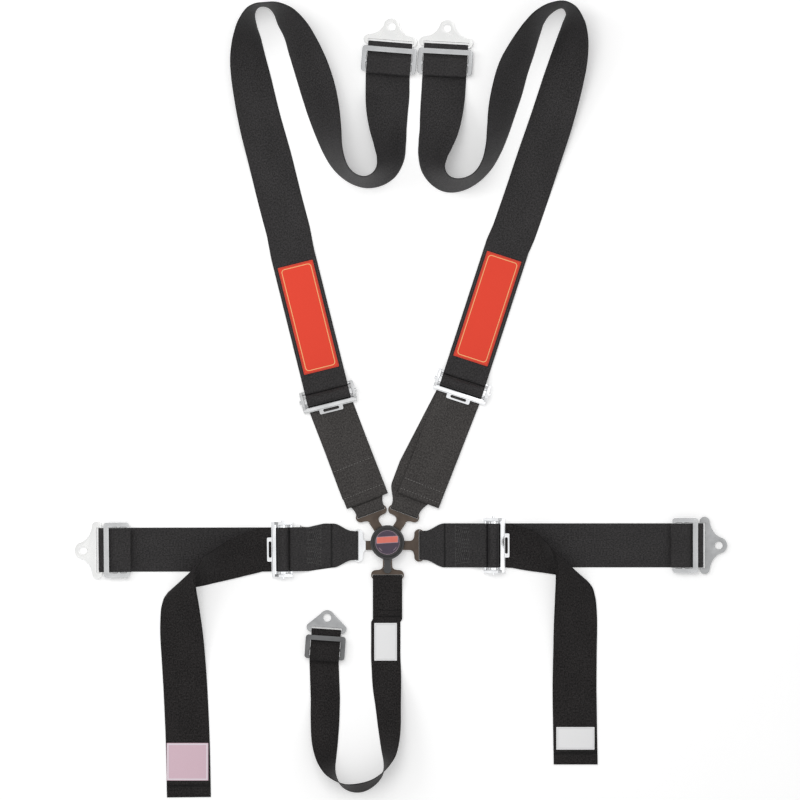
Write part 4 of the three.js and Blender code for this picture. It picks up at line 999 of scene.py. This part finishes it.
def spring_shortens(obj):
    """Gives a latch spring its own mesh; how far it would shorten as its pin rises is worked out
    but not used.
    """
    corners = [Vector(c) for c in obj.bound_box]
    top = max(c.z for c in corners)
    height = top - min(c.z for c in corners)
    (height - PIN_LIFT * MM) / height
    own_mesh(obj)


def make_buckle():
    rim, root = 29.5 - 3.5 / 3, -26.3
    arm, flare, arm_end = 5.25, 11, -38
    lever_outline = [
        (-flare, root), (-flare, -rim),
        *curve_between((-flare, -rim), (-arm, -rim), (-arm, arm_end)), (-arm, arm_end),
        *arc(0, -47, 7, 180, 360, 20),
        (arm, arm_end), *curve_between((arm, arm_end), (arm, -rim), (flare, -rim)),
        (flare, -rim), (flare, root),
    ]
    lever = plate([lever_outline], 9.6, 15.6, 1.1)
    piece("release_cap", [lathe("cap", CAP_PROFILE), lever], knob_black,
          "release_knob", body="knob", smooth_below=40)
    piece("cap_insert", [lathe("insert", INSERT_PROFILE)], navy,
          "knob_insert_disc", body="knob", smooth_below=40)

    edge, field = [
        [(x, y + STRIPE_SLOPE * x) for x, y in rounded(*sides)]
        for sides in ((-19, 18.4, -1.2, 10.6, 1.2), (-18.2, 17.6, -0.4, 9.8, 0.8))]
    border, stripe = plate([edge, field], PRINT_Z, 25.05, 0.1), plate([field], PRINT_Z, 25.0, 0.1)
    piece("cap_stripe_edge", [border], mark_pale, body="knob")
    piece("cap_stripe", [stripe], bar_red, body="knob")
    for label, radius, width, start, stop in (
            ("rim", 20.7, 0.45, 0, 352.5),
            ("mark_left", 17.2, 0.6, 212, 236),
            ("mark_right", 17.2, 0.6, 306, 333)):
        outer, inner = [arc(0, 0, r, start, stop, 48) for r in (radius, radius - width)]
        rings = [outer, inner] if label == "rim" else [outer + inner[::-1]]
        mark = plate(rings, PRINT_Z, 24.92, 0.08)
        piece(f"cap_{label}", [mark], mark_pale, body="knob")

    for node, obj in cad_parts.items():
        if node in CAST or node.startswith(TURNED):
            obj.data.materials.clear()
            obj.data.materials.append(cast_black if node in CAST else steel)
        if node.startswith("latch_spring_"):
            spring_shortens(obj)


# Red patches, bare labels
PATCH_Z, PATCH = 2 * LAYER, 1.0
TAPE_Z, TAPE = LAYER, 0.4


def framed(x, y, w, l, inset, corner):
    """A label's outline, drawn in by an inset."""
    half_w, half_l = w / 2 - inset, l / 2 - inset
    return rounded(x - half_w, x + half_w, y - half_l, y + half_l, corner, 2)


def make_patches():
    field = rounded(45.5, 235.5, -31, 31, 1.2, 3)
    border = [rounded(50, 231, -26.5, 26.5, 6, 8), rounded(51.2, 229.8, -25.3, 25.3, 5, 8)]
    for name in SHOULDERS:
        place = adjusters[name]
        shape = plate([field], PATCH_Z, PATCH_Z + PATCH, 0.35)
        piece(f"red_patch_{name}", [shape], patch_red, f"patch_{name}", place)
        shape = plate(border, PATCH_Z + PATCH - 0.15, PATCH_Z + PATCH + 0.12, 0.08)
        piece(f"patch_border_{name}", [shape], patch_line, place=place)
    spots = {
        "label_crotch": (-3.3, -172.5, 39, 65, label_white, label_grey),
        "label_tail_left": (-346, -380, 72, 65, label_pink, label_edge),
        "label_tail_right": (325, -339.5, 66, 39, label_white, label_grey),
    }
    for node, (x, y, w, l, look, band_look) in spots.items():
        shape = plate([framed(x, y, w, l, 0, 0.6)], TAPE_Z, TAPE_Z + TAPE, 0.12)
        obj = piece(f"bare_{node}", [shape], look, node)
        edges = [framed(x, y, w, l, inset, 0.5) for inset in (1.2, 3.4)]
        band = plate(edges, TAPE_Z + 0.36, TAPE_Z + 0.5, 0.04)
        piece(f"bare_band_{node}", [band], band_look)


# Stitching: a Geometry Nodes group sets one short thread bar every stitch along a path
def stitch_group():
    tree = bpy.data.node_groups.new("stitch_run", "GeometryNodeTree")
    sockets = tree.interface.new_socket
    sockets(name="Path", in_out="INPUT", socket_type="NodeSocketGeometry")
    for label in ("Pitch", "Stitch Length", "Thread Radius"):
        sockets(name=label, in_out="INPUT", socket_type="NodeSocketFloat")
    sockets(name="Thread", in_out="INPUT", socket_type="NodeSocketMaterial")
    sockets(name="Stitches", in_out="OUTPUT", socket_type="NodeSocketGeometry")
    add, link = tree.nodes.new, tree.links.new
    given, out = add("NodeGroupInput").outputs, add("NodeGroupOutput")
    spread = add("GeometryNodeCurveToPoints")
    spread.mode = "LENGTH"
    link(given["Path"], spread.inputs["Curve"])
    link(given["Pitch"], spread.inputs["Length"])
    line = add("GeometryNodeCurvePrimitiveLine")
    line.mode = "POINTS"
    for share, socket in ((-0.5, "Start"), (0.5, "End")):
        end = add("ShaderNodeMath")
        end.operation = "MULTIPLY"
        end.inputs[1].default_value = share
        link(given["Stitch Length"], end.inputs[0])
        to_vector = add("ShaderNodeCombineXYZ")
        link(end.outputs[0], to_vector.inputs["Z"])
        link(to_vector.outputs[0], line.inputs[socket])
    circle = add("GeometryNodeCurvePrimitiveCircle")
    circle.inputs["Resolution"].default_value = 6
    link(given["Thread Radius"], circle.inputs["Radius"])
    tube = add("GeometryNodeCurveToMesh")
    tube.inputs["Fill Caps"].default_value = True
    link(line.outputs[0], tube.inputs["Curve"])
    link(circle.outputs[0], tube.inputs["Profile Curve"])
    place = add("GeometryNodeInstanceOnPoints")
    link(spread.outputs["Points"], place.inputs["Points"])
    link(tube.outputs[0], place.inputs["Instance"])
    link(spread.outputs["Rotation"], place.inputs["Rotation"])
    solid = add("GeometryNodeRealizeInstances")
    link(place.outputs[0], solid.inputs[0])
    colour = add("GeometryNodeSetMaterial")
    link(solid.outputs[0], colour.inputs["Geometry"])
    link(given["Thread"], colour.inputs["Material"])
    link(colour.outputs[0], out.inputs["Stitches"])
    return tree


STITCHES = stitch_group()
SOCKETS = {i.name: i.identifier for i in STITCHES.interface.items_tree if i.in_out == "INPUT"}


def stitches(name, lines, parent, pitch=3.4, length=2.7, radius=0.45, look=thread):
    """Sewn lines of points in millimetres, as a finished mesh that rides with its parent."""
    curve = bpy.data.curves.new(name, "CURVE")
    curve.dimensions = "3D"
    for points in lines:
        run = curve.splines.new("POLY")
        run.points.add(len(points) - 1)
        for point, p in zip(run.points, points):
            point.co = (p[0] * MM, p[1] * MM, p[2] * MM, 1)
    holder = link_new(name + "_path", curve)
    modifier = holder.modifiers.new("stitches", "NODES")
    modifier.node_group = STITCHES
    for label, value in (("Pitch", pitch), ("Stitch Length", length), ("Thread Radius", radius)):
        modifier[SOCKETS[label]] = value * MM
    modifier[SOCKETS["Thread"]] = look
    obj = link_new(name, finished_mesh(holder))
    obj.parent = parent


def at(place, x, y, z):
    return (*place.point(x, y).xy, z)


def crossing(place, x, half, z):
    """A line straight across a strap."""
    return [at(place, x, y, z) for y in (-half, half)]


def zigzag(place, x0, x1, half, count, z, flip):
    """A wave across the strap that swings along it between x0 and x1."""
    middle, swing = (x0 + x1) / 2, flip * (x1 - x0) / 2
    return [at(place, middle + swing * (1 if i % 2 else -1), half * (i / count - 1), z)
            for i in range(2 * count + 1)]


SEWN = T + 0.12  # height of the thread over the bottom of its web


def end_lines(end, along, spots, half, height):
    """Lines across a tail, each set back from its end."""
    lines = []
    for back in spots:
        c = end - along * back
        lines.append([(*(c + side_of(along) * s).xy, height(back)) for s in (-half, half)])
    return lines


def tail_layer(t):
    """The layer that a shoulder tail lies on, t from 0 at its adjuster to 1 at its end."""
    for (t0, a), (t1, b) in zip(TAIL_LEVELS, TAIL_LEVELS[1:]):
        if t <= t1:
            return a + (b - a) * (t - t0) / (t1 - t0)


def make_stitching(straps):
    top = LAYER + SEWN
    for name, first, seam in (("lap_left", 61, 42), ("lap_right", 59.5, 40)):
        head, last = heads[name], first + 35
        lines = [zigzag(head, first, last, 33, 5, top, flip) for flip in (1, -1)]
        lines += [crossing(head, x, 34, top) for x in (first, last)]
        stitches(f"crossed_stitching_{name}", lines, straps[f"short_{name}"])
        lines = [crossing(head, seam + x, 36.5, top) for x in (0, 1.6)]
        stitches(f"seam_stitching_{name}", lines, straps[f"short_{name}"],
                 2.4, 2.2, 0.5, seam_thread)
    for name in SHOULDERS:
        place = adjusters[name]
        lines = [crossing(place, REAR_X + x, 34, top) for x in (214, 221)]
        lines += [[at(place, 45, y, top), at(place, REAR_X + 224, y, top)] for y in (-34.5, 34.5)]
        stitches(f"backing_stitching_{name}", lines, straps[f"upper_{name}"])
        z = PATCH_Z + PATCH + 0.1
        edge = [at(place, *p, z) for p in rounded(47, 234, -29.5, 29.5, 1.5, 3)]
        stitches(f"patch_stitching_{name}", [edge + [edge[0]]], straps[f"upper_{name}"],
                 2.6, 2.1, 0.25)
    lines = [crossing(heads["crotch"], x, 23, top) for x in (58, 68, 69.6)]
    stitches("crotch_stitching", lines, straps["crotch"], 2.6, 2.2, 0.5, seam_thread)
    for name in LAPS:
        place, (near, end) = adjusters[name].turned(), LAP_TABLES[name][-2:]
        near, end = place.point(*near[:2]), place.point(*end[:2])
        along = (end - near).normalized()
        for label, spots in (("hem", (20, 21.4)), ("hem_thread", (18.2,))):
            lines = end_lines(end, along, spots, 36, lambda back: SEWN)
            stitches(f"{label}_stitching_{name}", lines, straps[f"tail_{name}"],
                     2.6, 2.2, 0.45, seam_thread)
    for name, spots in zip(SHOULDERS, ((18, 68), (9, 28))):
        start, end, along = tail_line(name)
        length = (end - start).length
        lines = end_lines(end, along, spots, 34,
                          lambda back: tail_layer(1 - back / length) * LAYER + SEWN)
        stitches(f"hem_stitching_{name}", lines, straps[f"tail_{name}"],
                 5.2, 2.4, 0.45, pale_thread)


straps = make_straps()
make_anchors()
make_adjusters()
make_tongues()
make_buckle()
make_patches()
make_stitching(straps)

# White table, a soft room and a camera straight above
floor_look = Look("white_table", 0.9)
mottle = floor_look.noise(3.0, 2.0)
floor_look.set("Base Color", floor_look.mix(mottle, (0.93, 0.93, 0.93), (0.95, 0.95, 0.95)))
floor_look.set("Emission Color", (1, 1, 1, 1))
floor_look.set("Emission Strength", 0.24)
bpy.ops.mesh.primitive_plane_add(size=40, location=(0.02, 0.25, -0.0002))
table = bpy.context.object
table.name = "table"
table.data.materials.append(floor_look.material)


def make_room():
    """An even white room; shiny things see a pale ceiling, a bright ring with a window,
    and grey low walls."""
    plain, darkest = 0.55, 0.08
    room = bpy.data.worlds.new("soft_room")
    room.use_nodes = True
    scene.world = room
    tree = room.node_tree
    side, ahead, height = parts_of(tree, add_node(tree, "TexCoord").outputs["Generated"])
    ceiling = height.step(0.9, 0.975)
    wall = height.step(0.14, 0.42)
    window = (side * 0.42 + ahead * 0.4 + height * 0.815).step(0.955, 0.975)
    seen = wall + 0.12 - ceiling * 0.14 + side * 0.12 - ahead * 0.2 + window * 0.8
    glossy = V(tree, add_node(tree, "LightPath").outputs["Is Glossy Ray"])
    strength = glossy * seen.max(darkest) + (1 - glossy) * plain
    back = tree.nodes["Background"]
    feed(tree, back.inputs["Color"], (1, 1, 1, 1))
    feed(tree, back.inputs["Strength"], strength)


def area_light(name, location, target, size, power):
    """A square light that lights the cloth but isn't mirrored in the metal."""
    data = bpy.data.lights.new(name, "AREA")
    data.energy = power
    data.size = size
    obj = link_new(name, data)
    obj.location = location
    aim = Vector(target) - Vector(location)
    obj.rotation_euler = aim.to_track_quat("-Z", "Y").to_euler()
    obj.visible_glossy = False


make_room()
area_light("overhead", (-0.5, 1.2, 3.0), (0.02, 0.3, 0), 1.8, 34)
area_light("side", (-2.6, 1.4, 2.0), (0, 0.2, 0), 1.2, 16)

SENSOR, CAMERA_HEIGHT, FIELD = 36, 8.0, 1.384
camera = bpy.data.cameras.new("camera")
camera.sensor_width = SENSOR
camera.lens = SENSOR * CAMERA_HEIGHT / FIELD
scene.camera = link_new("camera", camera)
scene.camera.location = (0.0216, 0.2457, CAMERA_HEIGHT)
